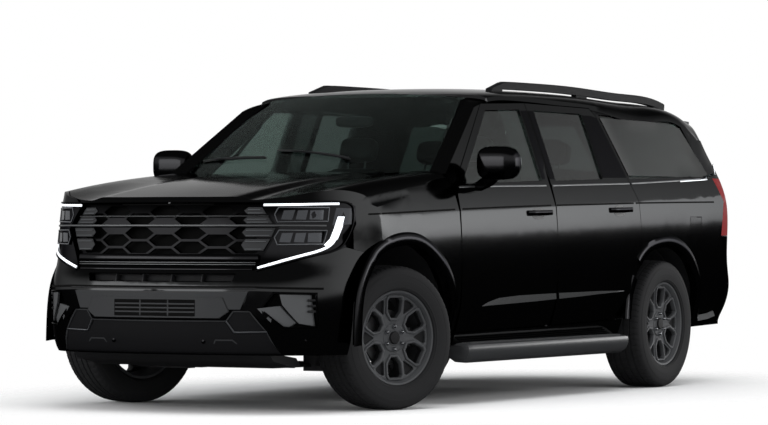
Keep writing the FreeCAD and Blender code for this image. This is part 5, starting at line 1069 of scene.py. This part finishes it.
def build_sides() -> None:
    """Trim lines, painted-shade strips along the crease under the windows, pillar plates, handles and window
    surrounds.
    """
    surface = CadSurface(SIDE_NODES)
    build_handles(surface)
    build_arches(surface)
    build_boards()
    for sign, word in ((1, "left"), (-1, "right")):
        for name, points, body in (("front", BELT_FRONT, f"door_front_{word}"),
                                   ("rear", BELT_REAR, f"door_rear_{word}"),
                                   ("quarter", BELT_QUARTER, "body")):
            bar = side_strip(surface, points, sign, 0.010, 0.005)
            finish_piece(bar, f"belt_{name}_{word}", Look.BELT, body, TRIM_ANGLE)
        # Near-black strips along the crease under the windows: painted shade of the crease
        for name, points, body in (("fender", SHOULDER_FENDER, "body"),
                                   ("front", SHOULDER_FRONT, f"door_front_{word}"),
                                   ("rear", SHOULDER_REAR, f"door_rear_{word}"),
                                   ("quarter", SHOULDER_QUARTER, "body")):
            bar = side_strip(surface, points, sign, 0.010, 0.002)
            finish_piece(bar, f"shoulder_{name}_{word}", Look.GROOVE, body, TRIM_ANGLE)
        for name, points, body in (("front", LOWER_FRONT, f"door_front_{word}"),
                                   ("rear", LOWER_REAR, f"door_rear_{word}")):
            facet = crease_facet(surface, points, sign)
            finish_piece(facet, f"lower_line_{name}_{word}", Look.PAINT, body, 20)
        for name, outline, body in (("front", FRONT_PILLAR_PLATE, f"door_front_{word}"),
                                    ("rear", REAR_PILLAR_PLATE, f"door_rear_{word}"),
                                    ("back", BACK_PILLAR_PLATE, f"door_rear_{word}")):
            plate = side_plate(surface, outline, sign, 0.002, 0.003)
            finish_piece(plate, f"pillar_{name}_{word}", Look.GLOSS_BLACK, body, TRIM_ANGLE)
        pane = quarter_pane(sign)
        finish_piece(pane, f"quarter_pane_{word}", Look.DARK_GLASS, "body", TRIM_ANGLE)
        valance = side_strip(surface, VALANCE, sign, 0.050, 0.006, 0.002)
        finish_piece(valance, f"rear_valance_{word}", Look.TRIM, "body", TRIM_ANGLE)
        corner = side_strip(surface, [(-3.60, 1.309), (-4.03, 1.326), (-3.99, 1.42)], sign, 0.015, 0.005,
                            0.001, 6)
        finish_piece(corner, f"quarter_trim_{word}", Look.BRIGHT, "body", TRIM_ANGLE)


FRONT_ARCH = [(-0.572, 0.440), (-0.470, 0.680), (-0.330, 0.820), (-0.120, 0.915), (0.120, 0.925),
              (0.330, 0.870),
              (0.460, 0.760), (0.535, 0.600), (0.560, 0.250)]
REAR_ARCH = [(-2.775, 0.250), (-2.790, 0.444), (-2.880, 0.730), (-3.010, 0.850), (-3.200, 0.895),
             (-3.420, 0.895),
             (-3.620, 0.830), (-3.770, 0.690), (-3.850, 0.520), (-3.860, 0.250)]
LIP_SECTION = [(-0.016, 0.000), (-0.012, 0.006), (0.000, 0.009), (0.030, 0.008), (0.052, 0.004),
               (0.058, -0.002),
               (0.050, -0.008), (0.000, -0.010), (-0.006, -0.050), (-0.014, -0.048)]


def arch_lip(surface: CadSurface, points: list, centre: tuple, sign: int) -> bpy.types.Mesh:
    """A rolled lip along a wheel arch through (length, height) points."""
    ways, reach = [], []
    for x, z in points:
        way = np.array([x - centre[0], z - centre[1]])
        way /= np.linalg.norm(way)
        ways.append(way)
        reach.append(surface.side(ax(x + way[0] * 0.012), z + way[1] * 0.012, sign)[1])
    even = np.convolve(np.pad(reach, 2, "edge"), np.full(5, 0.2), "valid")
    rows = []
    for (x, z), way, y in zip(points, ways, even):
        rows.append([(ax(x + way[0] * a), y + sign * b, z + way[1] * a) for a, b in LIP_SECTION])
    count = len(LIP_SECTION)
    faces = grid_faces(len(rows), count, False, True)
    faces.append(tuple(range(count)))
    faces.append(tuple(range((len(rows) - 1) * count, len(rows) * count)))
    return outward(mesh_from(np.array(rows).reshape(-1, 3), faces))


def house_edge(surface: CadSurface, points: list, centre: tuple, sign: int) -> bpy.types.Mesh:
    """A band that joins the wheel housing to the side panel over an arch."""
    rows = []
    for x, z in points:
        way = np.array([x - centre[0], z - centre[1]])
        way /= np.linalg.norm(way)
        outer = abs(surface.side(ax(x + way[0] * 0.02), z + way[1] * 0.02, sign)[1]) - 0.020
        rows.append([(ax(x + way[0] * a), sign * y, z + way[1] * a)
                     for a, y in ((-0.007, 0.800), (-0.007, outer), (0.004, outer), (0.004, 0.800))])
    faces = grid_faces(len(rows), 4, False, True)
    faces.append(tuple(range(4)))
    faces.append(tuple(range((len(rows) - 1) * 4, len(rows) * 4)))
    return outward(mesh_from(np.array(rows).reshape(-1, 3), faces))


def build_arches(surface: CadSurface) -> None:
    """Rolled lips of the four wheel arches."""
    front = smooth_line(FRONT_ARCH, 6)
    rear = smooth_line(REAR_ARCH, 6)
    on_door = [p for p in rear if p[1] < 0.72 and p[0] > -2.95 and p[1] > 0.44]
    on_body = [p for p in rear if p[0] < -2.90 and p[1] > 0.36]
    for sign, word in ((1, "left"), (-1, "right")):
        for name, points, centre, body in (
                ("front", [p for p in front if p[1] > 0.33], (0.0, 0.42), "body"),
                ("rear", on_body, (-3.33, 0.42), "body"),
                ("door", on_door, (-3.33, 0.42), f"door_rear_{word}")):
            lip = arch_lip(surface, points, centre, sign)
            finish_piece(lip, f"arch_lip_{name}_{word}", Look.GLOSS_BLACK, body, 35)
        edge = house_edge(surface, [p for p in on_body if p[0] < -3.0], (-3.33, 0.42), sign)
        finish_piece(edge, f"wheel_house_edge_{word}", Look.UNDERBODY, "body", 35)


def build_mirrors() -> None:
    """Rounded mirror housings with their glass."""
    for sign, word in ((1, "left"), (-1, "right")):
        body = f"door_front_{word}"
        low_y, high_y = sorted((sign * 0.985, sign * 1.2375))
        shell = rounded_block((ax(-0.924), low_y, 1.284), (ax(-0.790), high_y, 1.478), 3.4)
        arm = prism([(0.941, 1.208), (0.941, 1.250), (1.030, 1.305), (1.115, 1.305), (1.050, 1.252)],
                    lambda y, z, x: (ax(-0.868) + x, sign * y, z), -0.036, 0.036)
        housing = finish_piece(join([shell, arm]), f"mirror_{word}_shell", Look.GLOSS_BLACK, body, 50)
        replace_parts(housing, f"mirror_{word}")
        pane = rounded_block((ax(-0.9255), low_y + 0.012, 1.300), (ax(-0.9215), high_y - 0.012, 1.460), 3)
        finish_piece(pane, f"mirror_{word}_pane", Look.CHROME, body, 50)


def rounded_block(low: tuple, high: tuple, power: float, steps: int = 14) -> bpy.types.Mesh:
    """A block with well rounded corners, a power ellipsoid between two corners."""
    low, high = np.array(low), np.array(high)
    middle, half = (low + high) / 2, (high - low) / 2
    work = bmesh.new()
    bmesh.ops.create_cube(work, size=2.0)
    bmesh.ops.subdivide_edges(work, edges=work.edges, cuts=steps - 1, use_grid_fill=True)
    for vert in work.verts:
        point = np.array(vert.co)
        size = (np.abs(point) ** power).sum() ** (1 / power)
        point = point / max(size, 1e-6)
        vert.co = Vector(middle + half * point)
    mesh = bpy.data.meshes.new("rounded")
    work.to_mesh(mesh)
    work.free()
    return outward(mesh)


def build_glass() -> None:
    """Windows, tinted behind the front doors."""
    for word in ("left", "right"):
        dress(f"glass_front_{word}", Look.GLASS)
        dress(f"glass_rear_{word}", Look.DARK_GLASS)
    dress("fixed_glass", Look.SCREEN)
    dress("liftgate_glass", Look.DARK_GLASS)


RAIL_SLOPE = 0.17


def build_rails() -> None:
    """Roof rails as one thick bar a side with a raised foot at each end."""
    rails = dress("roof_rails", Look.SKID, 30.0)
    lengths = [v.co.x for v in rails.data.vertices]
    foot = min(v.co.z for v in rails.data.vertices if v.co.x > max(lengths) - 0.02)

    def sloped(x: float, z: float) -> float:
        """Height of a point of the rail once its front foot is sloped."""
        share = min(max((x - max(lengths) + RAIL_SLOPE) / RAIL_SLOPE, 0.0), 1.0)
        return z if z < foot else foot + (z - foot) * (1.0 - 0.72 * share)

    for vertex in rails.data.vertices:
        vertex.co.z = sloped(vertex.co.x, vertex.co.z)
    surface = CadSurface(["roof_rails"])
    for sign, word in ((1, "left"), (-1, "right")):
        rows = []
        for x in np.linspace(min(lengths) + 0.012, max(lengths) - 0.012, 30):
            places = [surface.hit((x, sign * y, 2.5), (0, 0, -1)) for y in np.linspace(0.45, 0.80, 60)]
            places = [place for place in places if place is not None]
            top = max(place.z for place in places)
            middle = sum(sign * place.y for place in places) / len(places)
            for a, b in ((-0.021, -0.048), (-0.021, -0.006), (-0.014, 0.0), (0.014, 0.0), (0.021, -0.006),
                         (0.021, -0.048)):
                rows.append((x, sign * (middle + a), sloped(x, top + b)))
        faces = grid_faces(30, 6, False, True)
        faces.append(tuple(range(6)))
        faces.append(tuple(range(29 * 6, 30 * 6)))
        finish_piece(outward(mesh_from(np.array(rows), faces)), f"rail_bar_{word}",
                     Look.SKID, "body", TRIM_ANGLE)


# Tail
def build_tail() -> None:
    """Lamps, trim, wiper and step at the back."""
    dress("tail_lamps", Look.TAIL_RED)
    dress("liftgate", Look.PAINT)
    dress("tailgate", Look.PAINT)
    dress("rear_bumper", Look.PAINT)
    surface = CadSurface(["liftgate", "tailgate", "rear_bumper", "tail_lamps", "quarter_panels",
                          "liftgate_glass"])

    def tail_strip(points: list, width: float, thick: float, lift: float = 0.0, steps: int = 14):
        """A flat strip along a line of (y, z) points on the tail."""
        track = []
        for (y0, z0), (y1, z1) in zip(points, points[1:]):
            track += [(y0 + (y1 - y0) * i / steps, z0 + (z1 - z0) * i / steps) for i in range(steps)]
        track.append(points[-1])
        path = np.array([surface.rear(y, z, lift + thick / 2) for y, z in track])
        along = np.gradient(path, axis=0)
        along /= np.linalg.norm(along, axis=1)[:, None]
        out = np.array([-1.0, 0.0, 0.1])
        across = np.cross(along, out)
        across /= np.linalg.norm(across, axis=1)[:, None]
        return strip(path, across, width, np.cross(across, along), thick)

    def on_tail(lift: float):
        """A placing function for plates on the tail."""
        return lambda y, z, depth: surface.rear(y, z, lift - depth)

    bar = tail_strip([(-0.74, 1.075), (0.74, 1.075)], 0.030, 0.006)
    finish_piece(bar, "tail_bar", Look.BRIGHT, "liftgate", TRIM_ANGLE)
    finish_piece(panel([(0.72, 1.055), (-0.72, 1.055), (-0.70, 0.985), (0.70, 0.985)], on_tail(0.002),
                       0.003),
                 "tail_panel", Look.GLOSS_BLACK, "liftgate", TRIM_ANGLE)
    lamps = []
    for z in (1.02, 1.12, 1.22):
        lamps.append(tail_strip([(0.80, z), (0.86, z), (0.925, z)], 0.012, 0.004, 0.0, 3))
    finish_piece(both(join(lamps)), "tail_lamp_lines", Look.LAMP_LENS, "body", TRIM_ANGLE)
    lip = tail_strip([(-0.88, 0.512), (0.88, 0.512)], 0.030, 0.004, -0.0032)
    finish_piece(lip, "bumper_lip", Look.GREY_TRIM, "body", TRIM_ANGLE)
    pad = panel([(0.78, 0.670), (-0.78, 0.670), (-0.78, 0.655), (0.78, 0.655)], on_tail(0.003), 0.004)
    finish_piece(pad, "step_edge", Look.TRIM, "body", TRIM_ANGLE)
    reflectors = panel([(0.60, 0.565), (0.78, 0.565), (0.78, 0.595), (0.60, 0.595)], on_tail(0.004),
                       0.004, 0.03)
    finish_piece(both(reflectors), "rear_reflectors", Look.TAIL_RED, "body", TRIM_ANGLE)
    arm = tail_strip([(0.0, 1.365), (-0.24, 1.395), (-0.44, 1.410)], 0.012, 0.008, 0.006, 8)
    foot = revolved([(0.0, 0.0005), (0.0, 0.022), (0.014, 0.019), (0.018, 0.0005)], 24)
    spot = surface.rear(0.0, 1.365)
    foot.transform(Matrix.Translation(spot) @ Matrix.Rotation(math.pi / 2, 4, "Z"))
    finish_piece(join([arm, foot]), "rear_wiper", Look.SATIN_BLACK, "liftgate", TRIM_ANGLE)
    heights = [z for z in np.arange(1.765, 1.60, -0.004)
               if all(surface.rear(y, z)[0] < ax(-3.9) for y in np.linspace(-0.23, 0.23, 24))]
    stop = tail_strip([(-0.22, heights[0] - 0.012), (0.22, heights[0] - 0.012)], 0.016, 0.004, 0.0, 10)
    finish_piece(stop, "high_stop_lamp", Look.TAIL_RED, "liftgate", TRIM_ANGLE)
    sensors = []
    for y, z in ((0.32, 0.60), (0.72, 0.62), (-0.32, 0.60), (-0.72, 0.62)):
        sensor = revolved([(-0.001, 0.0005), (-0.001, 0.011), (0.003, 0.010), (0.004, 0.0005)], 18)
        sensor.transform(Matrix.Translation(surface.rear(y, z)) @ Matrix.Rotation(math.pi / 2, 4, "Z"))
        sensors.append(sensor)
    finish_piece(join(sensors), "rear_sensors", Look.GLOSS_BLACK, "body", TRIM_ANGLE)


# Hood, roof and screen
def build_top() -> None:
    """Hood, fenders, roof, rails, wipers and roof aerial."""
    dress("hood", Look.PAINT, 16.0)
    dress("front_fenders", Look.PAINT, 22.0)
    dress("roof_panel", Look.PAINT, 22.0)
    build_rails()
    surface = CadSurface(["fixed_glass", "hood", "roof_panel", "front_structure"])

    def above(x: float, y: float, lift: float) -> tuple:
        """Point over the glass or hood."""
        place = surface.hit((ax(x), y, 3.0), (0, 0, -1))
        z = place.z if place is not None else 1.3
        return (ax(x), y, z + lift)

    arms = []
    for start, middle, end in (((-0.560, 0.30), (-0.60, 0.02), (-0.62, -0.12)),
                               ((-0.575, -0.28), (-0.615, -0.55), (-0.645, -0.66))):
        track = []
        for a, b in ((start, middle), (middle, end)):
            track += [(a[0] + (b[0] - a[0]) * i / 6, a[1] + (b[1] - a[1]) * i / 6) for i in range(6)]
        track.append(end)
        arms.append(tube(np.array([above(x, y, 0.014) for x, y in track]), 0.006, 8))
        blade = [above(start[0] - 0.02 + (end[0] - start[0]) * i / 12 * 1.1,
                       start[1] - 0.02 + (end[1] - start[1]) * i / 12 * 1.25, 0.007) for i in range(13)]
        arms.append(strip(np.array(blade), (1, 0, 0), 0.012, (0, 0, 1), 0.010))
    finish_piece(join(arms), "wipers", Look.SATIN_BLACK, "body", TRIM_ANGLE)
    aerial = prism([(-4.05, 0.0), (-3.92, 0.0), (-4.02, 0.055), (-4.06, 0.058)],
                   lambda x, z, y: (ax(x), y, above(x, 0, 0)[2] + z - 0.004), -0.014, 0.014)
    finish_piece(aerial, "roof_aerial", Look.GLOSS_BLACK, "body", TRIM_ANGLE)




# Cabin
SEAT_LEVEL = 0.900
SEAT_TOP = 1.420
REAR_LEVEL = 1.010
PAD_SWELL = 0.014
PAD_VOXEL = 0.012
PAD_FRAMES = 20


def swollen(mesh: bpy.types.Mesh, look: Look) -> bpy.types.Mesh:
    """A pad filled by cloth simulation under pressure.

    Args:
        mesh: the slack shape.
        look: cover, which only names the work object.
    """
    holder = bpy.data.objects.new("pad_" + look.name.lower(), mesh)
    bpy.context.scene.collection.objects.link(holder)
    remesh = holder.modifiers.new("remesh", "REMESH")
    remesh.mode = "VOXEL"
    remesh.voxel_size = PAD_VOXEL
    bpy.context.view_layer.update()
    graph = bpy.context.evaluated_depsgraph_get()
    even = bpy.data.meshes.new_from_object(holder.evaluated_get(graph))
    holder.modifiers.clear()
    holder.data = even
    start = coordinates(even)
    cloth = holder.modifiers.new("cloth", "CLOTH")
    cloth.settings.quality = 5
    cloth.settings.use_pressure = True
    cloth.settings.uniform_pressure_force = 4.0
    cloth.settings.effector_weights.gravity = 0.0
    cloth.point_cache.frame_end = PAD_FRAMES
    for step in range(1, PAD_FRAMES + 1):
        bpy.context.scene.frame_set(step)
    graph = bpy.context.evaluated_depsgraph_get()
    blown = bpy.data.meshes.new_from_object(holder.evaluated_get(graph))
    move = coordinates(blown) - start
    size = np.linalg.norm(move, axis=1)[:, None]
    move *= np.minimum(1.0, PAD_SWELL / np.maximum(size, 1e-9))
    even.vertices.foreach_set("co", (start + move).ravel())
    bpy.context.scene.frame_set(1)
    bpy.data.objects.remove(holder)
    return even


def coordinates(mesh: bpy.types.Mesh) -> np.ndarray:
    """The mesh's points as an array."""
    points = np.empty(len(mesh.vertices) * 3)
    mesh.vertices.foreach_get("co", points)
    return points.reshape(-1, 3)


def sewn(mesh: bpy.types.Mesh, axis: int, lines: list, deep: float, width: float = 0.007) -> bpy.types.Mesh:
    """Pull a pad's skin inward along seams at places on one axis."""
    points = coordinates(mesh)
    normals = np.empty(len(mesh.vertices) * 3)
    mesh.vertices.foreach_get("normal", normals)
    normals = normals.reshape(-1, 3)
    for line in lines:
        points -= normals * (deep * np.exp(-((points[:, axis] - line) / width) ** 2))[:, None]
    mesh.vertices.foreach_set("co", points.ravel())
    mesh.update()
    return mesh


def seat_pads(half: float, cushion: float, height: float) -> dict:
    """Cushion, back and head pad of a seat about its hip point, upright.

    Args:
        half: half the seat's width.
        cushion: length of the cushion.
        height: height of the back over the cushion.
    Returns:
        Pads by name, the back and the head pad not yet leaned.
    """
    slack = 0.012
    seat = rounded_block((0.02, -half + slack, -0.115), (cushion, half - slack, -0.004), 5)
    back = rounded_block((-0.065, -half + slack, -0.03), (0.055, half - slack, height), 5)
    head = rounded_block((-0.052, -0.125, height + 0.035), (0.048, 0.125, height + 0.185), 4)
    pads = {}
    for name, mesh in (("cushion", seat), ("back", back), ("head", head)):
        pads[name] = swollen(mesh, Look.LEATHER)
    inner = half * 0.62
    pads["cushion"] = sewn(pads["cushion"], 1, [-inner, inner], 0.009)
    pads["cushion"] = sewn(pads["cushion"], 0, [cushion * 0.33, cushion * 0.62], 0.004)
    pads["back"] = sewn(pads["back"], 1, [-inner, inner], 0.009)
    pads["back"] = sewn(pads["back"], 2, [height * 0.36, height * 0.66], 0.004)
    return pads


def place_seat(pads: dict, name: str, x: float, y: float, level: float, lean: float, wide: float,
               height: float) -> list:
    """Set a seat's pads at its hip point and give it posts.

    Args:
        pads: pads by name, about the hip point.
        name: name of the seat.
        x: length of the hip point from the front axle.
        y: width of its middle.
        level: height of the cushion's top.
        lean: backward lean of its back, in radians.
        wide: half the width of its base; not used.
        height: height of its back.
    Returns:
        The new objects.
    """
    made = []
    spot = Matrix.Translation((ax(x), y, level))
    for part, mesh in pads.items():
        own = mesh.copy()
        if part != "cushion":
            own.transform(Matrix.Rotation(-lean, 4, "Y"))
        own.transform(spot)
        piece = finish_piece(own, f"{name}_{part}", Look.LEATHER, "body", 60)
        made.append(piece)
    posts = []
    for side in (-0.06, 0.06):
        line = np.array([(0.0, side, height - 0.03), (0.0, side, height + 0.06)])
        post = tube(line, 0.006, 8)
        post.transform(Matrix.Rotation(-lean, 4, "Y"))
        post.transform(spot)
        posts.append(post)
    made.append(finish_piece(join(posts), f"{name}_posts", Look.SATIN_METAL, "body", TRIM_ANGLE))
    return made


def build_seats() -> None:
    """Three rows of leather seats."""
    lean = 0.30
    pads = seat_pads(0.258, 0.50, SEAT_TOP - SEAT_LEVEL - 0.015)
    for row, x in (("front", -1.180), ("middle", -2.150)):
        made = []
        bases = []
        for side, word in ((1, "left"), (-1, "right")):
            made += place_seat(pads, f"{row}_seat_{word}", x - 0.50, side * 0.400, SEAT_LEVEL, lean, 0.2,
                               SEAT_TOP - SEAT_LEVEL - 0.015)
            bases.append(box_mesh((ax(x - 0.44), side * 0.4 - 0.20, 0.533),
                                  (ax(x - 0.10), side * 0.4 + 0.20, SEAT_LEVEL - 0.11), 0.012))
        made.append(finish_piece(join(bases), f"{row}_seat_bases", Look.CABIN, "body", TRIM_ANGLE))
        for piece in made:
            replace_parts(piece, f"{row}_seats")
    bench = seat_pads(0.600, 0.45, SEAT_TOP - REAR_LEVEL - 0.015)
    made = place_seat(bench, "rear_bench", -3.080 - 0.46, 0.0, REAR_LEVEL, lean, 0.55,
                      SEAT_TOP - REAR_LEVEL - 0.015)
    base = box_mesh((ax(-3.08 - 0.42), -0.55, 0.703), (ax(-3.08 - 0.08), 0.55, REAR_LEVEL - 0.11), 0.012)
    made.append(finish_piece(base, "rear_bench_base", Look.CABIN, "body", TRIM_ANGLE))
    for piece in made:
        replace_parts(piece, "rear_seats")


def build_cabin() -> None:
    """Seats, dashboard, steering wheel, screens and grab handles."""
    build_seats()
    dress("dashboard", Look.CABIN, 30.0)
    screens = [box_mesh((ax(-0.950), 0.215, 1.150), (ax(-0.938), 0.585, 1.262), 0.004),
               box_mesh((ax(-0.965), -0.190, 1.120), (ax(-0.953), 0.180, 1.262), 0.004)]
    finish_piece(join(screens), "cabin_screens", Look.LAMP_DARK, "body", TRIM_ANGLE)
    way = Vector((-math.cos(math.radians(24)), 0, math.sin(math.radians(24))))
    turn = Vector((0, 1, 0)).rotation_difference(way).to_matrix().to_4x4()
    spot = Matrix.Translation((ax(-1.130), 0.400, 1.120))
    angles = np.linspace(0, 2 * math.pi, 64, endpoint=False)
    rim = tube(np.stack([0.186 * np.cos(angles), 0 * angles, 0.186 * np.sin(angles)], -1), 0.0145, 14, True)
    boss = revolved([(-0.034, 0.0005), (-0.034, 0.050), (-0.012, 0.072), (0.004, 0.070), (0.010, 0.052),
                     (0.012, 0.0005)], 40)
    spokes = []
    for angle in (0.12, math.pi - 0.12, -math.pi / 2):
        line = np.array([(math.cos(angle) * r, -0.010 + 0.03 * (r - 0.06), math.sin(angle) * r)
                         for r in np.linspace(0.055, 0.178, 6)])
        side = (-math.sin(angle), 0, math.cos(angle))
        spokes.append(strip(line, side, 0.036, (0, 1, 0), 0.014))
    for name, mesh, look in (("rim", rim, Look.LEATHER), ("boss", boss, Look.CABIN),
                             ("spokes", join(spokes), Look.CABIN)):
        mesh.transform(turn)
        mesh.transform(spot)
        piece = finish_piece(mesh, f"steering_wheel_{name}", look, "steering_wheel", 50)
        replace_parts(piece, "steering_wheel")
    handles = []
    for sign in (1, -1):
        path = [(ax(-1.02), sign * 0.800, 1.420), (ax(-1.05), sign * 0.772, 1.452),
                (ax(-1.15), sign * 0.752, 1.545), (ax(-1.24), sign * 0.735, 1.620), (ax(-1.27),
                                                                                     sign * 0.742, 1.655)]
        handles.append(tube(np.array(path), 0.012, 10))
    finish_piece(join(handles), "grab_handles", Look.CABIN, "body", 50)
    mirror = rounded_block((ax(-1.145), -0.125, 1.605), (ax(-1.105), 0.125, 1.672), 4)
    finish_piece(mirror, "cabin_mirror", Look.CABIN, "body", 50)


def build_camera() -> None:
    """The camera at the photograph's place."""
    data = bpy.data.cameras.new("camera")
    data.lens = CAMERA_LENS
    data.sensor_width = SENSOR_WIDTH
    data.clip_end = 200.0
    camera = bpy.data.objects.new("camera", data)
    bpy.context.scene.collection.objects.link(camera)
    way = Vector((-math.cos(CAMERA_CLIMB) * math.cos(CAMERA_HEADING),
                  -math.cos(CAMERA_CLIMB) * math.sin(CAMERA_HEADING), math.sin(CAMERA_CLIMB)))
    camera.location = CAMERA_PLACE
    camera.rotation_euler = way.to_track_quat("-Z", "Y").to_euler()
    bpy.context.scene.camera = camera


def add_light(name: str, place: tuple, aim: tuple, size: tuple, power: float) -> bpy.types.Object:
    """One soft rectangular lamp that no gloss shows."""
    data = bpy.data.lights.new(name, "AREA")
    data.shape = "RECTANGLE"
    data.size, data.size_y = size
    data.energy = power
    lamp = bpy.data.objects.new(name, data)
    bpy.context.scene.collection.objects.link(lamp)
    lamp.location = place
    lamp.visible_glossy = False
    lamp.rotation_euler = (Vector(aim) - Vector(place)).to_track_quat("-Z", "Y").to_euler()
    return lamp


def floor_material() -> bpy.types.Material:
    """Pale floor that fades into the white background away from the vehicle."""
    material = bpy.data.materials.new("studio_floor")
    material.use_nodes = True
    tree = material.node_tree
    tree.nodes.clear()
    output = tree.nodes.new("ShaderNodeOutputMaterial")
    diffuse = tree.nodes.new("ShaderNodeBsdfDiffuse")
    diffuse.inputs["Color"].default_value = (0.85, 0.85, 0.85, 1)
    clear = tree.nodes.new("ShaderNodeBsdfTransparent")
    place = tree.nodes.new("ShaderNodeTexCoord")
    scale = tree.nodes.new("ShaderNodeMapping")
    scale.inputs["Scale"].default_value = (1 / 4.6, 1 / 2.9, 1.0)
    length = tree.nodes.new("ShaderNodeVectorMath")
    length.operation = "LENGTH"
    fade = tree.nodes.new("ShaderNodeMapRange")
    fade.interpolation_type = "SMOOTHSTEP"
    fade.inputs["From Min"].default_value = 0.45
    fade.inputs["From Max"].default_value = 0.95
    mix = tree.nodes.new("ShaderNodeMixShader")
    tree.links.new(place.outputs["Object"], scale.inputs["Vector"])
    tree.links.new(scale.outputs["Vector"], length.inputs[0])
    tree.links.new(length.outputs["Value"], fade.inputs["Value"])
    tree.links.new(fade.outputs["Result"], mix.inputs[0])
    tree.links.new(diffuse.outputs["BSDF"], mix.inputs[1])
    tree.links.new(clear.outputs["BSDF"], mix.inputs[2])
    tree.links.new(mix.outputs["Shader"], output.inputs["Surface"])
    return material


def ranged(tree: bpy.types.NodeTree, value, low: float, high: float, out_low: float, out_high: float):
    """A smooth step of a value in a node tree."""
    node = tree.nodes.new("ShaderNodeMapRange")
    node.interpolation_type = "SMOOTHSTEP"
    for name, number in (("From Min", low), ("From Max", high), ("To Min", out_low), ("To Max", out_high)):
        node.inputs[name].default_value = number
    tree.links.new(value, node.inputs["Value"])
    return node.outputs["Result"]


def joined_values(tree: bpy.types.NodeTree, operation: str, first, second):
    """Two values put together in a node tree."""
    node = tree.nodes.new("ShaderNodeMath")
    node.operation = operation
    tree.links.new(first, node.inputs[0])
    tree.links.new(second, node.inputs[1])
    return node.outputs["Value"]


def build_world() -> None:
    """White background for the camera, metal and glass, and a soft light from all round."""
    world = bpy.data.worlds.new("studio_world")
    bpy.context.scene.world = world
    world.use_nodes = True
    tree = world.node_tree
    tree.nodes.clear()
    output = tree.nodes.new("ShaderNodeOutputWorld")
    white = tree.nodes.new("ShaderNodeBackground")
    white.inputs["Color"].default_value = (1, 1, 1, 1)
    soft = tree.nodes.new("ShaderNodeBackground")
    soft.inputs["Color"].default_value = (0.60, 0.61, 0.62, 1)
    dark = tree.nodes.new("ShaderNodeBackground")
    dark.inputs["Color"].default_value = (0.015, 0.015, 0.016, 1)
    place = tree.nodes.new("ShaderNodeTexCoord")
    parts = tree.nodes.new("ShaderNodeSeparateXYZ")
    tree.links.new(place.outputs["Generated"], parts.inputs["Vector"])
    toward = tree.nodes.new("ShaderNodeVectorMath")
    toward.operation = "DOT_PRODUCT"
    toward.inputs[1].default_value = (-0.80, 0.60, 0.0)
    tree.links.new(place.outputs["Generated"], toward.inputs[0])
    above = ranged(tree, parts.outputs["Z"], 0.022, 0.048, 0.0, 1.0)
    high = ranged(tree, parts.outputs["Z"], 0.20, 0.44, 1.0, 0.07)
    above = joined_values(tree, "MULTIPLY", above, high)
    side = ranged(tree, toward.outputs["Value"], 0.55, 1.0, 0.55, 1.0)
    light = tree.nodes.new("ShaderNodeLightPath")
    glossy = joined_values(tree, "MULTIPLY", light.outputs["Is Glossy Ray"],
                           joined_values(tree, "MULTIPLY", above, side))
    seen = joined_values(tree, "MAXIMUM", light.outputs["Is Camera Ray"],
                         light.outputs["Is Transmission Ray"])
    shown = joined_values(tree, "MAXIMUM", seen, glossy)
    under = tree.nodes.new("ShaderNodeMixShader")
    tree.links.new(light.outputs["Is Glossy Ray"], under.inputs[0])
    tree.links.new(soft.outputs["Background"], under.inputs[1])
    tree.links.new(dark.outputs["Background"], under.inputs[2])
    mix = tree.nodes.new("ShaderNodeMixShader")
    tree.links.new(shown, mix.inputs[0])
    tree.links.new(under.outputs["Shader"], mix.inputs[1])
    tree.links.new(white.outputs["Background"], mix.inputs[2])
    tree.links.new(mix.outputs["Shader"], output.inputs["Surface"])


def build_studio() -> None:
    """Floor, world and lamps."""
    floor = mesh_from(np.array([(-9, -7, 0), (9, -7, 0), (9, 7, 0), (-9, 7, 0)]), [(0, 1, 2, 3)])
    floor.materials.append(floor_material())
    plane = bpy.data.objects.new("studio_floor", floor)
    bpy.context.scene.collection.objects.link(plane)
    plane.visible_glossy = False
    build_world()
    add_light("key", (2.5, 2.0, 7.5), (0.2, 0, 0.6), (7.0, 5.0), 380)
    add_light("side", (1.0, 9.0, 3.4), (0, 0, 0.8), (9.0, 2.4), 230)
    add_light("front", (9.5, -1.0, 3.0), (2.4, 0, 0.7), (4.0, 2.5), 120)
    box = add_light("soft_box", (-8.0, 5.4, 1.88), (-1.2, 0.9, 1.0), (9.0, 1.2), 105)
    box.visible_glossy = True
    box = add_light("soft_box_front", (8.5, -4.0, 2.1), (0.9, 0.0, 0.9), (7.0, 1.6), 60)
    box.visible_glossy = True
    bpy.context.scene.view_settings.view_transform = "Standard"


REST = {
    "door_front_left": Look.PAINT, "door_front_right": Look.PAINT, "door_rear_left": Look.PAINT,
    "door_rear_right": Look.PAINT, "quarter_panels": Look.PAINT, "fuel_door": Look.PAINT,
    "side_frames": Look.PAINT, "chassis_frame": Look.FRAME,
    "floor_pan": Look.UNDERBODY, "front_structure": Look.UNDERBODY, "front_suspension": Look.CAST,
    "rear_suspension": Look.CAST, "knuckle_left": Look.CAST, "knuckle_right": Look.CAST,
    "driveline": Look.CAST, "exhaust": Look.SATIN_METAL, "engine_block": Look.CAST,
    "fuel_tank": Look.UNDERBODY,
}


def main() -> None:
    """Build every piece of the scene."""
    logging.basicConfig(level=logging.INFO)
    build_camera()
    build_studio()
    build_glass()
    build_top()
    build_grille()
    build_headlamps()
    build_bumper()
    build_sides()
    build_mirrors()
    build_tail()
    build_wheels()
    build_cabin()
    for node, look in REST.items():
        dress(node, look)


if __name__ == "__main__":
    main()
